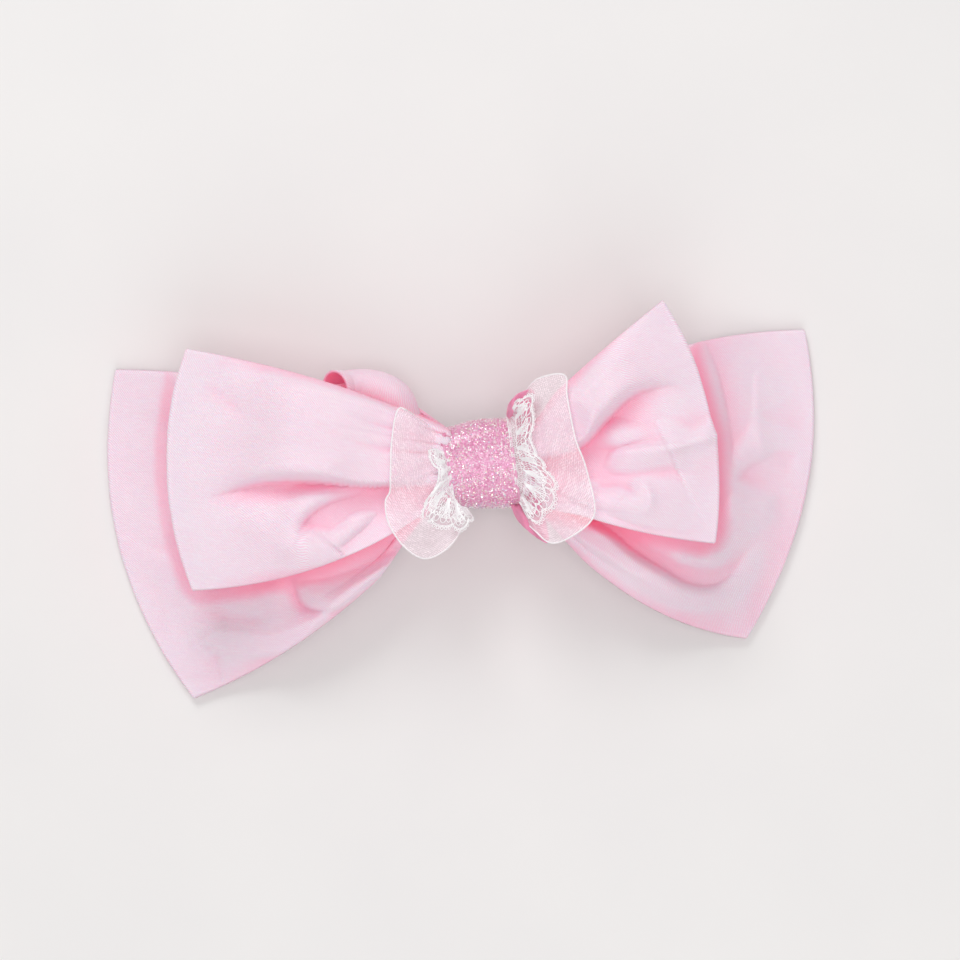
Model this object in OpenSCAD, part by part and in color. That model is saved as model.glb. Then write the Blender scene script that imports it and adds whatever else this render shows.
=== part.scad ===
// Two-layer satin hair bow on a French barrette.
// X runs along the bow, +Y is the upper edge when it is worn, +Z is the front.
// The origin is the middle of the flat underside of the closed clasp arm, on which the bow lies.

/* [Large bow] */
// Distance from the knot to the outer fold of the large left loop
large_left_reach = 86; // [70:1:104]
// Distance from the knot to the outer fold of the large right loop
large_right_reach = 73; // [60:1:90]
// Width of the satin band folded into the large bow
large_band_w = 86; // [66:1:104]
// Angle by which the large left loop hangs below the bow's long axis
large_left_droop = 13.4; // [0:0.1:20]
// Angle by which the large right loop hangs below the bow's long axis
large_right_droop = 4.7; // [0:0.1:20]
// Front-to-back thickness that the large loops puff out to
large_puff = 10; // [6:0.5:14]

/* [Small bow] */
// Distance from the knot to the outer fold of the small left loop
small_left_reach = 73; // [58:1:88]
// Distance from the knot to the outer fold of the small right loop
small_right_reach = 50; // [42:1:62]
// Width of the satin band folded into the small bow
small_band_w = 61; // [48:1:74]
// Angle by which the small left loop hangs below the bow's long axis
small_left_droop = 1.5; // [0:0.1:20]
// Angle by which the small right loop rises above the bow's long axis
small_right_rise = 12.4; // [0:0.1:20]
// Front-to-back thickness that the small loops puff out to
small_puff = 11; // [6:0.5:14]

/* [Knot] */
// Width of the glitter band, along the bow
glitter_w = 16.8; // [13:0.1:21]
// Height of the knot over the glitter band, across the bow
knot_h = 22.2; // [18:0.1:27]
// Thickness of the glitter band
glitter_t = 0.8; // [0.6:0.1:1.2]
// Thickness of each gathered satin waist, front to back
gather_t = 7; // [5.5:0.1:9]
// Width of the organza ribbon wrapped round the waist
organza_w = 50.8; // [41:0.1:61]
// Width of the lace wrapped over the organza
lace_w = 34; // [28:0.1:41]
// Width of the deep pink satin ribbon under the organza
waist_ribbon_w = 28; // [22:0.1:34]
// Thickness allowed for each wrapped ribbon
ribbon_t = 0.4; // [0.3:0.05:0.5]

/* [Barrette] */
// Length of the barrette's base plate
base_len = 80; // [66:1:96]
// Width of the base plate
base_w = 9; // [8:0.1:11]
// Thickness of the base plate
base_t = 0.8; // [0.6:0.05:1]
// Clear height between the arm's underside and the top of the base plate
barrette_h = 8.8; // [8:0.1:10.5]
// Radius of the sewing hole at each end of the base plate
sewing_hole_r = 0.8; // [0.6:0.05:1]
// Radius of the hinge pin
pin_r = 0.7; // [0.55:0.05:0.85]
// Radial clearance between the pin and the arm's bores
pin_clearance = 0.05; // [0.02:0.01:0.09]
// Width of the clasp arm's strip
arm_w = 6.4; // [5.4:0.1:7]
// Thickness of the clasp arm
arm_t = 0.9; // [0.7:0.05:1]
// Height of the arm's end eye above the arm's strip
eye_lift = 2.4; // [2:0.1:3]
// How far the tension spring bows out from the base plate
spring_bow = 2.4; // [1.5:0.1:2.6]
// Width of the tension spring
spring_w = 5; // [4:0.1:6]
// Thickness of the felt backing
felt_t = 1; // [0.8:0.1:1.5]

/* [Hidden] */
$fn = 48;
e = 0.5;                                  // overshoot of a cut past a face

// Stack of heights, from the table up
glue_t = 0.6;
base_z = barrette_h - base_t;             // underside of the base plate
glue_z = barrette_h;
felt_z = glue_z + glue_t;
knot_z = felt_z + felt_t;                 // back of the glitter band
layer_gap = 0.3;                          // free space between soft layers
large_z = knot_z + glitter_t + 0.2;       // back of the large gathered waist
small_z = large_z + gather_t + layer_gap; // back of the small gathered waist
waist_top = small_z + gather_t;

// Widths across the waist, each layer outside the one before
wrap_step = ribbon_t + 0.15;
glitter_half = glitter_w / 2;
gather_half = glitter_half + 0.6;         // the loops start here
main_half = glitter_half - 0.7;           // the gathers are full this far out, and slimmer beyond
tight_half = glitter_half + 0.05;         // the wraps lie tight round the waist this far out
knot_inner = knot_h / 2 - glitter_t;
wrap_count = 3;
wrap_start = 0.25;                        // free space between the waist and the first wrap
gather_y = knot_inner - wrap_count * wrap_step - wrap_start;
knot_top = waist_top + wrap_start + wrap_count * wrap_step + glitter_t;

right_band_share = 0.93;                  // the large right loop is turned a little, and looks narrower
// Loops: [side, reach, turn, band width, lean of the fold, bulge, top fullness, bottom fullness]
LARGE_LEFT = [-1, large_left_reach, large_left_droop, large_band_w, 0, 9.5, 0.77, 1.06];
LARGE_RIGHT = [1, large_right_reach, -large_right_droop, large_band_w * right_band_share, -6, 8, 0.9, 0.95];
SMALL_LEFT = [-1, small_left_reach, small_left_droop, small_band_w, 0, 5.5, 0.77, 0.98];
SMALL_RIGHT = [1, small_right_reach, small_right_rise, small_band_w, 0, 9, 0.62, 0.74];
belly_share = 0.55;                       // where along a loop its edges are fullest
turn_speed = 3;                           // a loop has turned to its direction a third of the way out
fold_t = 3;                               // thickness of a loop at its outer fold
rest_gap = 0.3;                           // height of the large loops' lowest edge over the table
loop_floor = knot_z + 0.5;                // lowest height of a loop over the barrette
plateau = base_len / 2 + 4;               // the loops stay level this far out, over the barrette
along = 22;                               // grid steps from the gather to the fold
across = 14;                              // grid steps from edge to edge
small_lift_left = 5;                      // height of the small left fold over the large loop
small_lift_right = 9;
top_corner_lift = 5;                      // extra height of the small right loop's upper corner

function ease(t) = let (c = min(max(t, 0), 1)) c * c * (3 - 2 * c);
function mix(a, b, t) = a + (b - a) * t;
function swell(t) = let (s = sin(180 * min(max(t, 0), 1))) s * s;
function bezier(a, b, c, t) = (1 - t) * (1 - t) * a + 2 * t * (1 - t) * b + t * t * c;
function large_reach(x) = x < 0 ? large_left_reach : large_right_reach;
function small_reach(x) = x < 0 ? small_left_reach : small_right_reach;

// Heights over the plan: back and front of the large layer, back and front of the small layer
function large_back(x, y) = let (d = norm([x, y]))
    mix(loop_floor, rest_gap, ease((d - plateau) / (large_reach(x) + 9 - plateau)));
function large_t(x, y) = let (t = norm([x, y]) / (large_reach(x) + 9))
    mix(gather_t, fold_t, min(t, 1)) + (large_puff - 4.5) * swell(t);
function large_front(x, y) = large_back(x, y) + large_t(x, y);
function small_lift(x, y) = let (t = norm([x, y]) / (small_reach(x) + 9))
    (x < 0 ? small_lift_left : small_lift_right + top_corner_lift * ease(y / 40)) * t * t;
function small_back(x, y) = max(large_front(x, y), small_z - layer_gap) + layer_gap + small_lift(x, y);
function small_t(x, y) = let (t = norm([x, y]) / (small_reach(x) + 9))
    mix(gather_t, fold_t, min(t, 1)) + (small_puff - 4.5) * swell(t);
function small_front(x, y) = small_back(x, y) + small_t(x, y);

// A point of a loop's plan: u from the gather to the fold, v from the lower to the upper edge
function loop_edge(l, u, s) = let (
    half = l[3] / 2, lean = l[4], full = s > 0 ? l[6] : l[7],
    inner = [gather_half, s * (gather_y - 0.4)],
    outer = [l[1] + half * sin(-lean) * s, half * cos(lean) * s],
    belly = [l[1] * belly_share, s * half * full])
    bezier(inner, belly, outer, u);
function loop_turn(l, p, u) = let (a = l[2] * ease(u * turn_speed), c = cos(a), s = sin(a))
    [gather_half + (p[0] - gather_half) * c - p[1] * s, p[1] * c + (p[0] - gather_half) * s];
function loop_plan(l, u, v) = let (
    flat = mix(loop_edge(l, u, -1), loop_edge(l, u, 1), v),
    puffed = flat + [l[5] * 4 * v * (1 - v) * pow(u, 3), 0],
    turned = l[0] < 0 ? loop_turn([0, 0, -l[2]], puffed, u) : loop_turn(l, puffed, u))
    [l[0] * turned[0], turned[1]];
function fullness(v) = let (w = pow(abs(2 * v - 1), 4)) 1 - 0.65 * w;

// Closed solid between a lower and an upper grid of points
module grid_solid(lower, upper, nu, nv) {
    n = (nu + 1) * (nv + 1);
    function at(i, j) = i * (nv + 1) + j;
    up = [for (i = [0:nu - 1]) for (j = [0:nv - 1]) each
          [[n + at(i, j), n + at(i + 1, j + 1), n + at(i + 1, j)],
           [n + at(i, j), n + at(i, j + 1), n + at(i + 1, j + 1)]]];
    down = [for (i = [0:nu - 1]) for (j = [0:nv - 1]) each
            [[at(i, j), at(i + 1, j), at(i + 1, j + 1)],
             [at(i, j), at(i + 1, j + 1), at(i, j + 1)]]];
    rim = concat([for (i = [0:nu - 1]) [at(i, 0), at(i + 1, 0)]],
                 [for (j = [0:nv - 1]) [at(nu, j), at(nu, j + 1)]],
                 [for (i = [nu:-1:1]) [at(i, nv), at(i - 1, nv)]],
                 [for (j = [nv:-1:1]) [at(0, j), at(0, j - 1)]]);
    walls = [for (s = rim) each [[s[0], s[1] + n, s[1]], [s[0], s[0] + n, s[1] + n]]];
    polyhedron(concat(lower, upper), concat(up, down, walls));
}

// A puffed loop as one closed solid, between a back and a front height
module loop_solid(l, small) {
    plan = [for (i = [0:along]) for (j = [0:across]) loop_plan(l, i / along, j / across)];
    edge = [for (i = [0:along]) for (j = [0:across]) 1 - fullness(j / across)];
    back = [for (p = plan) small ? small_back(p[0], p[1]) : large_back(p[0], p[1])];
    thick = [for (p = plan) small ? small_t(p[0], p[1]) : large_t(p[0], p[1])];
    lower = [for (k = [0:len(plan) - 1]) [plan[k][0], plan[k][1], back[k] + 0.12 * edge[k] * thick[k]]];
    upper = [for (k = [0:len(plan) - 1])
             [plan[k][0], plan[k][1], back[k] + thick[k] * (1 - 0.55 * edge[k])]];
    if (l[0] > 0) grid_solid(lower, upper, along, across);
    else mirror([1, 0, 0]) grid_solid([for (p = lower) [-p[0], p[1], p[2]]],
                                      [for (p = upper) [-p[0], p[1], p[2]]], along, across);
}

// Bar along X with a rounded-rectangle section
module rounded_bar(half_x, half_y, z0, z1, r) {
    rotate([90, 0, 90]) translate([0, 0, -half_x]) linear_extrude(2 * half_x) {
        translate([-half_y + r, z0]) square([2 * (half_y - r), z1 - z0]);
        translate([-half_y, z0 + r]) square([2 * half_y, z1 - z0 - 2 * r]);
        for (y = [-half_y + r, half_y - r]) for (z = [z0 + r, z1 - r]) translate([y, z]) circle(r);
    }
}

// Gathered satin: a pleated bar pinched in the middle for its binding, with a slimmer neck at each end
bind_half = 1.6;
bind_depth = 0.5;
pleat_pitch = 2.6;
waist_r = 2.2;
neck_inset_y = 2.4;
neck_inset_z = 1.6;
module gathered_waist(z0) {
    difference() {
        union() {
            rounded_bar(main_half, gather_y, z0, z0 + gather_t, waist_r);
            rounded_bar(gather_half, gather_y - neck_inset_y, z0 + neck_inset_z,
                        z0 + gather_t - neck_inset_z, 1.5);
        }
        for (s = [-2:2]) for (z = [z0 - 0.1, z0 + gather_t + 0.1])
            translate([-gather_half - e, s * pleat_pitch, z]) rotate([0, 90, 0])
                cylinder(h = 2 * (gather_half + e), r = 0.6);
        difference() {
            rounded_bar(bind_half, gather_y + e, z0 - e, z0 + gather_t + e, waist_r);
            rounded_bar(bind_half + e, gather_y - bind_depth, z0 + bind_depth,
                        z0 + gather_t - bind_depth, 2);
        }
    }
}

// Binding thread: separate turns lying in the pinched middle of a gather
thread_d = 0.4;
module binding(z0) {
    turns = 5;
    for (i = [0:turns - 1]) translate([(i - (turns - 1) / 2) * 0.6, 0, 0]) difference() {
        rounded_bar(thread_d / 2, gather_y - bind_depth + thread_d, z0 + bind_depth - thread_d,
                    z0 + gather_t - bind_depth + thread_d, 2);
        rounded_bar(thread_d, gather_y - bind_depth, z0 + bind_depth, z0 + gather_t - bind_depth, 2);
    }
}

module large_loop_left() color("#f1bfd6") loop_solid(LARGE_LEFT, false);
module large_loop_right() color("#f1bfd6") loop_solid(LARGE_RIGHT, false);
module small_loop_left() color("#f5cfe0") loop_solid(SMALL_LEFT, true);
module small_loop_right() color("#f5cfe0") loop_solid(SMALL_RIGHT, true);
module large_gather() color("#ee9dbd") gathered_waist(large_z);
module small_gather() color("#ee9dbd") gathered_waist(small_z);
module large_binding() color("#f7e6ee") binding(large_z);
module small_binding() color("#f7e6ee") binding(small_z);

// A ribbon wrapped over the waist: tight under the band, flaring over the loops on both sides
wrap_steps_x = 20;
wrap_steps_y = 18;
top_share = 0.3;                          // share of a half wrap that lies over the front
corner_share = 0.25;                      // share that turns the waist's corner
function wrap_x(w, i) = let (t = 2 * i / wrap_steps_x - 1)
    abs(t) <= 0.4 ? t / 0.4 * tight_half : sign(t) * mix(gather_half - 0.2, w / 2, (abs(t) - 0.5) / 0.5);
// Half of a rounded rectangle, from the middle of its front down its side, as [y, z] about the waist's middle
function waist_section(p, a, b, r) = let (turn = 90 * (p - top_share) / corner_share)
    p < top_share ? [(a - r) * p / top_share, b] :
    p < top_share + corner_share ? [a - r + r * sin(turn), b - r + r * cos(turn)] :
    [a, mix(b - r, r - b, (p - top_share - corner_share) / (1 - top_share - corner_share))];
function wrap_point(w, flare, order, i, j, t) = let (
    x = wrap_x(w, i), v = 2 * j / wrap_steps_y - 1, lift = wrap_start + order * wrap_step + t,
    mid_z = (large_z + waist_top) / 2,
    s = waist_section(abs(v), gather_y + lift, waist_top - mid_z + lift, waist_r + lift),
    side = x > 0 ? 1 : -2,
    y = side + v * mix(gather_y, flare, ease((abs(x) - gather_half) / (w / 2 - gather_half))),
    roll = max(abs(y) - gather_y - 6, 0),
    front = max(small_front(x, y), waist_top) + lift + 0.2 - 0.03 * roll * roll)
    abs(x) <= tight_half ? [x, sign(v) * s[0], mid_z + s[1]] : [x, y, front];
module wrapped_ribbon(w, flare, order) {
    grid_solid([for (i = [0:wrap_steps_x]) for (j = [0:wrap_steps_y]) wrap_point(w, flare, order, i, j, 0)],
               [for (i = [0:wrap_steps_x]) for (j = [0:wrap_steps_y]) wrap_point(w, flare, order, i, j, ribbon_t)],
               wrap_steps_x, wrap_steps_y);
}
module waist_ribbon() color("#f085aa") wrapped_ribbon(waist_ribbon_w, 17, 0);
module organza_ribbon() color("#f8eaf1") wrapped_ribbon(organza_w, 19, 1);
module lace_ribbon() color("#f4f0f6") wrapped_ribbon(lace_w, 15, 2);

// Glitter ribbon closed round the whole waist
knot_r = 4;
module glitter_band() color("#ee9bbe") difference() {
    rounded_bar(glitter_half, knot_h / 2, knot_z, knot_top, knot_r);
    rounded_bar(glitter_half + e, knot_inner, knot_z + glitter_t, knot_top - glitter_t, knot_r - glitter_t);
}

// Flat strip with round ends
module strip(half_x, half_y, z, t) {
    translate([-half_x + half_y, -half_y, z]) cube([2 * (half_x - half_y), 2 * half_y, t]);
    for (s = [-1, 1]) translate([s * (half_x - half_y), 0, z]) cylinder(h = t, r = half_y);
}
felt_half_x = 27;
felt_half_y = 7;
module felt_backing() color("#f6d3e2") strip(felt_half_x, felt_half_y, felt_z, felt_t);
module glue_pad() color("#efe9dd") strip(felt_half_x - 3, base_w / 2 - 1, glue_z, glue_t);

// Barrette: places along its length
end_r = 2;
sewing_x = base_len / 2 - 2.2;            // centre of each sewing hole
hinge_x = -(base_len / 2 - 6.5);
hinge_z = 4;
catch_x = base_len / 2 - 6.5;
ear_t = 0.8;
ear_r = 1.9;
ear_gap = 0.3;                            // free space between the arm's ears and the base's ears
arm_ear_t = 0.7;
ear_inner = arm_w / 2 + ear_gap;
head_t = 0.4;
rivet_r = 0.8;
rivet_head_r = 1.4;
spring_half = base_len / 2 - 11;
spring_t = 0.4;
foot_len = 4;
spring_rivet_x = -spring_half + foot_len / 2;

module barrette_base() color("#c9c9cc") difference() {
    union() {
        translate([-base_len / 2 + end_r, -base_w / 2, base_z]) cube([base_len - 2 * end_r, base_w, base_t]);
        translate([-base_len / 2, -base_w / 2 + end_r, base_z]) cube([base_len, base_w - 2 * end_r, base_t]);
        for (s = [-1, 1]) for (q = [-1, 1])
            translate([s * (base_len / 2 - end_r), q * (base_w / 2 - end_r), base_z])
                cylinder(h = base_t, r = end_r);
        for (s = [-1, 1]) translate([hinge_x, s * (ear_inner + ear_t / 2), 0]) {
            translate([-ear_r, -ear_t / 2, hinge_z]) cube([2 * ear_r, ear_t, base_z - hinge_z + 0.1]);
            translate([0, 0, hinge_z]) rotate([90, 0, 0]) cylinder(h = ear_t, r = ear_r, center = true);
        }
    }
    for (s = [-1, 1]) translate([s * sewing_x, 0, base_z - e]) cylinder(h = base_t + 2 * e, r = sewing_hole_r);
    translate([hinge_x, 0, hinge_z]) rotate([90, 0, 0]) cylinder(h = base_w + 2 * e, r = pin_r, center = true);
    for (x = [spring_rivet_x, catch_x]) translate([x, 0, base_z - e]) cylinder(h = base_t + 2 * e, r = rivet_r);
}

// Pin through both pairs of ears, peened over outside the base's ears
module hinge_pin() color("#b5b5b9") translate([hinge_x, 0, hinge_z]) rotate([90, 0, 0]) {
    cylinder(h = 2 * (ear_inner + ear_t), r = pin_r, center = true);
    for (s = [-1, 1]) translate([0, 0, s * (ear_inner + ear_t + head_t / 2)])
        cylinder(h = head_t, r = pin_r + 0.4, center = true);
}

// Bowed leaf between two flat feet; the hinge-end foot is riveted, the other slides
module tension_spring() color("#d6d6d8") {
    half = spring_half - foot_len + 0.3;
    mean_r = (half * half + spring_bow * spring_bow) / (2 * spring_bow);
    sweep = asin(half / mean_r);
    foot_z = base_z - spring_t;
    difference() {
        translate([0, spring_w / 2, foot_z - spring_bow + mean_r]) rotate([90, 0, 0])
            rotate([0, 0, 270 - sweep]) rotate_extrude(angle = 2 * sweep, $fn = 200)
                translate([mean_r - spring_t, 0]) square([spring_t, spring_w]);
        translate([-base_len, -base_w, base_z]) cube([2 * base_len, 2 * base_w, 5]);
    }
    difference() {
        for (s = [-1, 1]) translate([s * (spring_half - foot_len / 2) - foot_len / 2, -spring_w / 2, foot_z])
            cube([foot_len, spring_w, spring_t]);
        translate([spring_rivet_x, 0, foot_z - e]) cylinder(h = spring_t + 2 * e, r = rivet_r);
    }
}

// Rivet through a part of thickness t under the base plate
module rivet(x, t) translate([x, 0, 0]) {
    translate([0, 0, base_z - t]) cylinder(h = base_t + t, r = rivet_r);
    translate([0, 0, base_z - t - head_t]) cylinder(h = head_t, r = rivet_head_r);
}
module spring_rivet() color("#b5b5b9") rivet(spring_rivet_x, spring_t);

// Clasp arm: flat strip, hinge ears at one end, raised eye over the catch tabs at the other
eye_half_x = 4;
eye_half_y = base_w / 2;
window_half_x = 2.9;
window_half_y = base_w / 2 - 1.1;
bore_r = pin_r + pin_clearance;
module clasp_arm() color("#c9c9cc") difference() {
    union() {
        strip_end = catch_x - eye_half_x - 3;
        translate([0, arm_w / 2, 0]) rotate([90, 0, 0]) linear_extrude(arm_w)
            polygon([[hinge_x - 1, 0], [strip_end, 0], [strip_end + 3, eye_lift], [catch_x - window_half_x, eye_lift],
                     [catch_x - window_half_x, eye_lift + arm_t], [strip_end + 3, eye_lift + arm_t],
                     [strip_end, arm_t], [hinge_x - 1, arm_t]]);
        translate([catch_x - eye_half_x, -eye_half_y, eye_lift]) cube([2 * eye_half_x, 2 * eye_half_y, arm_t]);
        for (s = [-1, 1]) translate([hinge_x, s * (arm_w - arm_ear_t) / 2, 0]) {
            translate([-1, -arm_ear_t / 2, 0]) cube([3, arm_ear_t, hinge_z]);
            translate([0, 0, hinge_z]) rotate([90, 0, 0]) cylinder(h = arm_ear_t, r = 1.7, center = true);
        }
    }
    translate([catch_x - window_half_x, -window_half_y, eye_lift - e])
        cube([2 * window_half_x, 2 * window_half_y, arm_t + 2 * e]);
    translate([hinge_x, 0, hinge_z]) rotate([90, 0, 0]) cylinder(h = arm_w + 2 * e, r = bore_r, center = true);
}

// Catch: a bridge riveted under the base plate carries two tabs that pinch together
bridge_t = 0.6;
bridge_half_y = window_half_y - 0.2;
tab_t = 0.6;
tab_half_x = window_half_x - 0.3;
tab_r = tab_t / 2;
tab_y = window_half_y - 0.2 - tab_r;      // tab's bending line
tab_top = base_z - bridge_t - 0.05;
tab_z = tab_top - tab_r;
tab_low = 0.4;
barb = 0.15;                              // barb under the eye's rail, 0.05 short of it
module catch_bridge() color("#bdbdc1") difference() {
    translate([catch_x - tab_half_x, -bridge_half_y, base_z - bridge_t])
        cube([2 * tab_half_x, 2 * bridge_half_y, bridge_t]);
    translate([catch_x, 0, base_z - bridge_t - e]) cylinder(h = bridge_t + 2 * e, r = rivet_r);
}
module catch_rivet() color("#b5b5b9") rivet(catch_x, bridge_t);
module catch_tab(s) {
    translate([catch_x, s * tab_y, tab_z]) rotate([0, 90, 0])
        cylinder(h = 2 * tab_half_x, r = tab_r, center = true);
    translate([catch_x - tab_half_x, s * tab_y - tab_r, tab_low])
        cube([2 * tab_half_x, tab_t, tab_z - tab_low]);
    translate([catch_x - 1.5, s * (tab_y + tab_r + barb / 2 - 0.05) - (barb + 0.1) / 2, eye_lift - 1])
        cube([3, barb + 0.1, 0.8]);
}
module catch_tab_front() color("#bdbdc1") catch_tab(-1);
module catch_tab_back() color("#bdbdc1") catch_tab(1);

large_loop_left();
large_loop_right();
large_gather();
large_binding();
small_loop_left();
small_loop_right();
small_gather();
small_binding();
waist_ribbon();
organza_ribbon();
lace_ribbon();
glitter_band();
felt_backing();
glue_pad();
barrette_base();
tension_spring();
spring_rivet();
hinge_pin();
clasp_arm();
catch_bridge();
catch_rivet();
catch_tab_front();
catch_tab_back();
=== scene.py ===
"""Two-layer satin hair bow with organza, lace and glitter over its knot, built round its packed barrette."""

import bpy
import numpy as np
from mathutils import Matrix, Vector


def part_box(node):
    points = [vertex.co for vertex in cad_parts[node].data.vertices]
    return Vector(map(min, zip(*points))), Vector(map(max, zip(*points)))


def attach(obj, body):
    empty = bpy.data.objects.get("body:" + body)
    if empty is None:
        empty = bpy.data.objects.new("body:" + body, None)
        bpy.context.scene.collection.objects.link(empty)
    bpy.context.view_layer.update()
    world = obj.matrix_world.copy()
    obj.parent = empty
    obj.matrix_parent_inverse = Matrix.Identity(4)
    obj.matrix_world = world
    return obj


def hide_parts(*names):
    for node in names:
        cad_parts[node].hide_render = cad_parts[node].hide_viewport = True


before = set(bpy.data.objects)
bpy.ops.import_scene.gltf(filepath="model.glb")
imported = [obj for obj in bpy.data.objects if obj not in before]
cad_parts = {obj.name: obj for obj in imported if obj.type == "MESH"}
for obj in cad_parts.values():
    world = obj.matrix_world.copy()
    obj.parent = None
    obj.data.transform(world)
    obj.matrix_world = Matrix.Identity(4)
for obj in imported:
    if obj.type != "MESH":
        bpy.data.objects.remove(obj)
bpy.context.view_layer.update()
MM = 0.001


def span(node):
    """Lowest and highest corner of a CAD node, in millimetres."""
    low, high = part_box(node)
    return np.array(low) / MM, np.array(high) / MM


# ---------------------------------------------------------------- sizes, in millimetres
glitter_low, glitter_high = span("glitter_band")
glitter_half = glitter_high[0]
knot_half = glitter_high[1]
knot_back, knot_top = glitter_low[2], glitter_high[2]
gather_half = span("large_gather")[1][0]
gather_y = span("large_gather")[1][1]
large_z, small_z = span("large_gather")[0][2], span("small_gather")[0][2]
gather_t = span("large_gather")[1][2] - large_z
waist_top = small_z + gather_t
loop_floor = knot_back + 0.5
base_half = span("barrette_base")[1][0]
plateau = base_half + 4
fold_t = 3.0
satin_t = 0.7                 # the satin is doubled, and pressed flat
rest_gap = 0.5
large_puff, small_puff = 10.0, 11.0

# For each loop: how far it reaches, its droop in degrees, its band's width, the lean and bulge of its
# fold, how full its upper and lower edges are, and where along it those edges are fullest.
LARGE_LEFT = dict(side=-1, reach=86.0, turn=-13.4, width=86.0, lean=0.0, bulge=9.5, full=(0.77, 0.86),
                  belly=0.55)
LARGE_RIGHT = dict(side=1, reach=73.0, turn=-4.7, width=80.0, lean=-6.0, bulge=8.0, full=(0.90, 0.95),
                   belly=0.52)
SMALL_LEFT = dict(side=-1, reach=73.3, turn=-1.5, width=60.0, lean=0.0, bulge=5.5, full=(0.77, 0.98),
                  belly=0.53)
SMALL_RIGHT = dict(side=1, reach=50.4, turn=12.4, width=61.0, lean=0.0, bulge=5.5, full=(0.62, 0.73),
                   belly=0.52, lift=1.0)


# ---------------------------------------------------------------- small numeric helpers
def ease(t):
    """Smooth step from 0 to 1: 3 t squared minus 2 t cubed, held at its ends."""
    c = np.clip(t, 0, 1)
    return c * c * (3 - 2 * c)


def swell(t):
    """0 at both ends and 1 in the middle: the square of a half sine."""
    return np.sin(np.pi * np.clip(t, 0, 1)) ** 2


def wander(t, seed, waves=5, first=1.0):
    """A smooth random curve of t in about -1 to 1: sines of rising frequency with seeded phases."""
    rng = np.random.default_rng(seed)
    total = 0
    for k in range(waves):
        wave = np.sin(2 * np.pi * (first * (k + 1) * t + rng.random()))
        total = total + wave * rng.uniform(0.4, 1) / (k + 1) ** 0.7
    return total / 1.6


def smooth_path(points, n):
    """Catmull-Rom curve through a few given points, as n points."""
    p = np.array(points, float)
    p = np.vstack([2 * p[0] - p[1], p, 2 * p[-1] - p[-2]])
    t = np.linspace(0, len(points) - 1 - 1e-9, n)
    i = t.astype(int)
    f = (t - i)[:, None]
    a, b, c, d = p[i], p[i + 1], p[i + 2], p[i + 3]
    return 0.5 * (2 * b + (c - a) * f + (2 * a - 5 * b + 4 * c - d) * f ** 2
                  + (3 * b - a - 3 * c + d) * f ** 3)


# ---------------------------------------------------------------- meshes
def make_piece(name, points, quads, material, uv=None, smooth=True, colour=None):
    """Mesh object from points in millimetres and an array of faces, with an optional map in millimetres."""
    mesh = bpy.data.meshes.new(name)
    points = np.asarray(points, np.float32).reshape(-1, 3) * MM
    quads = np.asarray(quads, np.int32)
    count, corners = quads.shape
    mesh.vertices.add(len(points))
    mesh.vertices.foreach_set("co", points.ravel())
    mesh.loops.add(count * corners)
    mesh.loops.foreach_set("vertex_index", quads.ravel())
    mesh.polygons.add(count)
    mesh.polygons.foreach_set("loop_start", np.arange(count, dtype=np.int32) * corners)
    mesh.polygons.foreach_set("loop_total", np.full(count, corners, np.int32))
    if uv is not None:
        layer = mesh.uv_layers.new(name="cloth_mm")
        layer.data.foreach_set("uv", np.asarray(uv, np.float32).reshape(-1, 2)[quads.ravel()].ravel())
    if colour is not None:
        attribute = mesh.color_attributes.new("flake", "FLOAT_COLOR", "POINT")
        attribute.data.foreach_set("color", np.asarray(colour, np.float32).ravel())
    mesh.update()
    mesh.validate()
    mesh.polygons.foreach_set("use_smooth", np.full(len(mesh.polygons), smooth))
    obj = bpy.data.objects.new(name, mesh)
    bpy.context.scene.collection.objects.link(obj)
    mesh.materials.append(material)
    return obj


def grid_faces(nu, nv, close_u=False, close_v=False):
    """Quads of a grid of nu by nv points, numbered row by row."""
    i = np.arange(nu if close_u else nu - 1)[:, None]
    j = np.arange(nv if close_v else nv - 1)[None, :]
    i2, j2 = (i + 1) % nu, (j + 1) % nv
    return np.stack([i * nv + j, i2 * nv + j, i2 * nv + j2, i * nv + j2], -1).reshape(-1, 4)


def grid_normals(grid):
    """Unit normals of a grid of points: the cross product of its two directions."""
    du = np.gradient(grid, axis=0)
    dv = np.gradient(grid, axis=1)
    n = np.cross(du, dv)
    return n / np.maximum(np.linalg.norm(n, axis=-1, keepdims=True), 1e-9)


def run_lengths(grid, axis):
    """Distance along one direction of a grid, from its first row or column, in millimetres."""
    step = np.linalg.norm(np.diff(grid, axis=axis), axis=-1)
    pad = [(0, 0), (0, 0)]
    pad[axis] = (1, 0)
    return np.pad(np.cumsum(step, axis=axis), pad)


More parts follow.
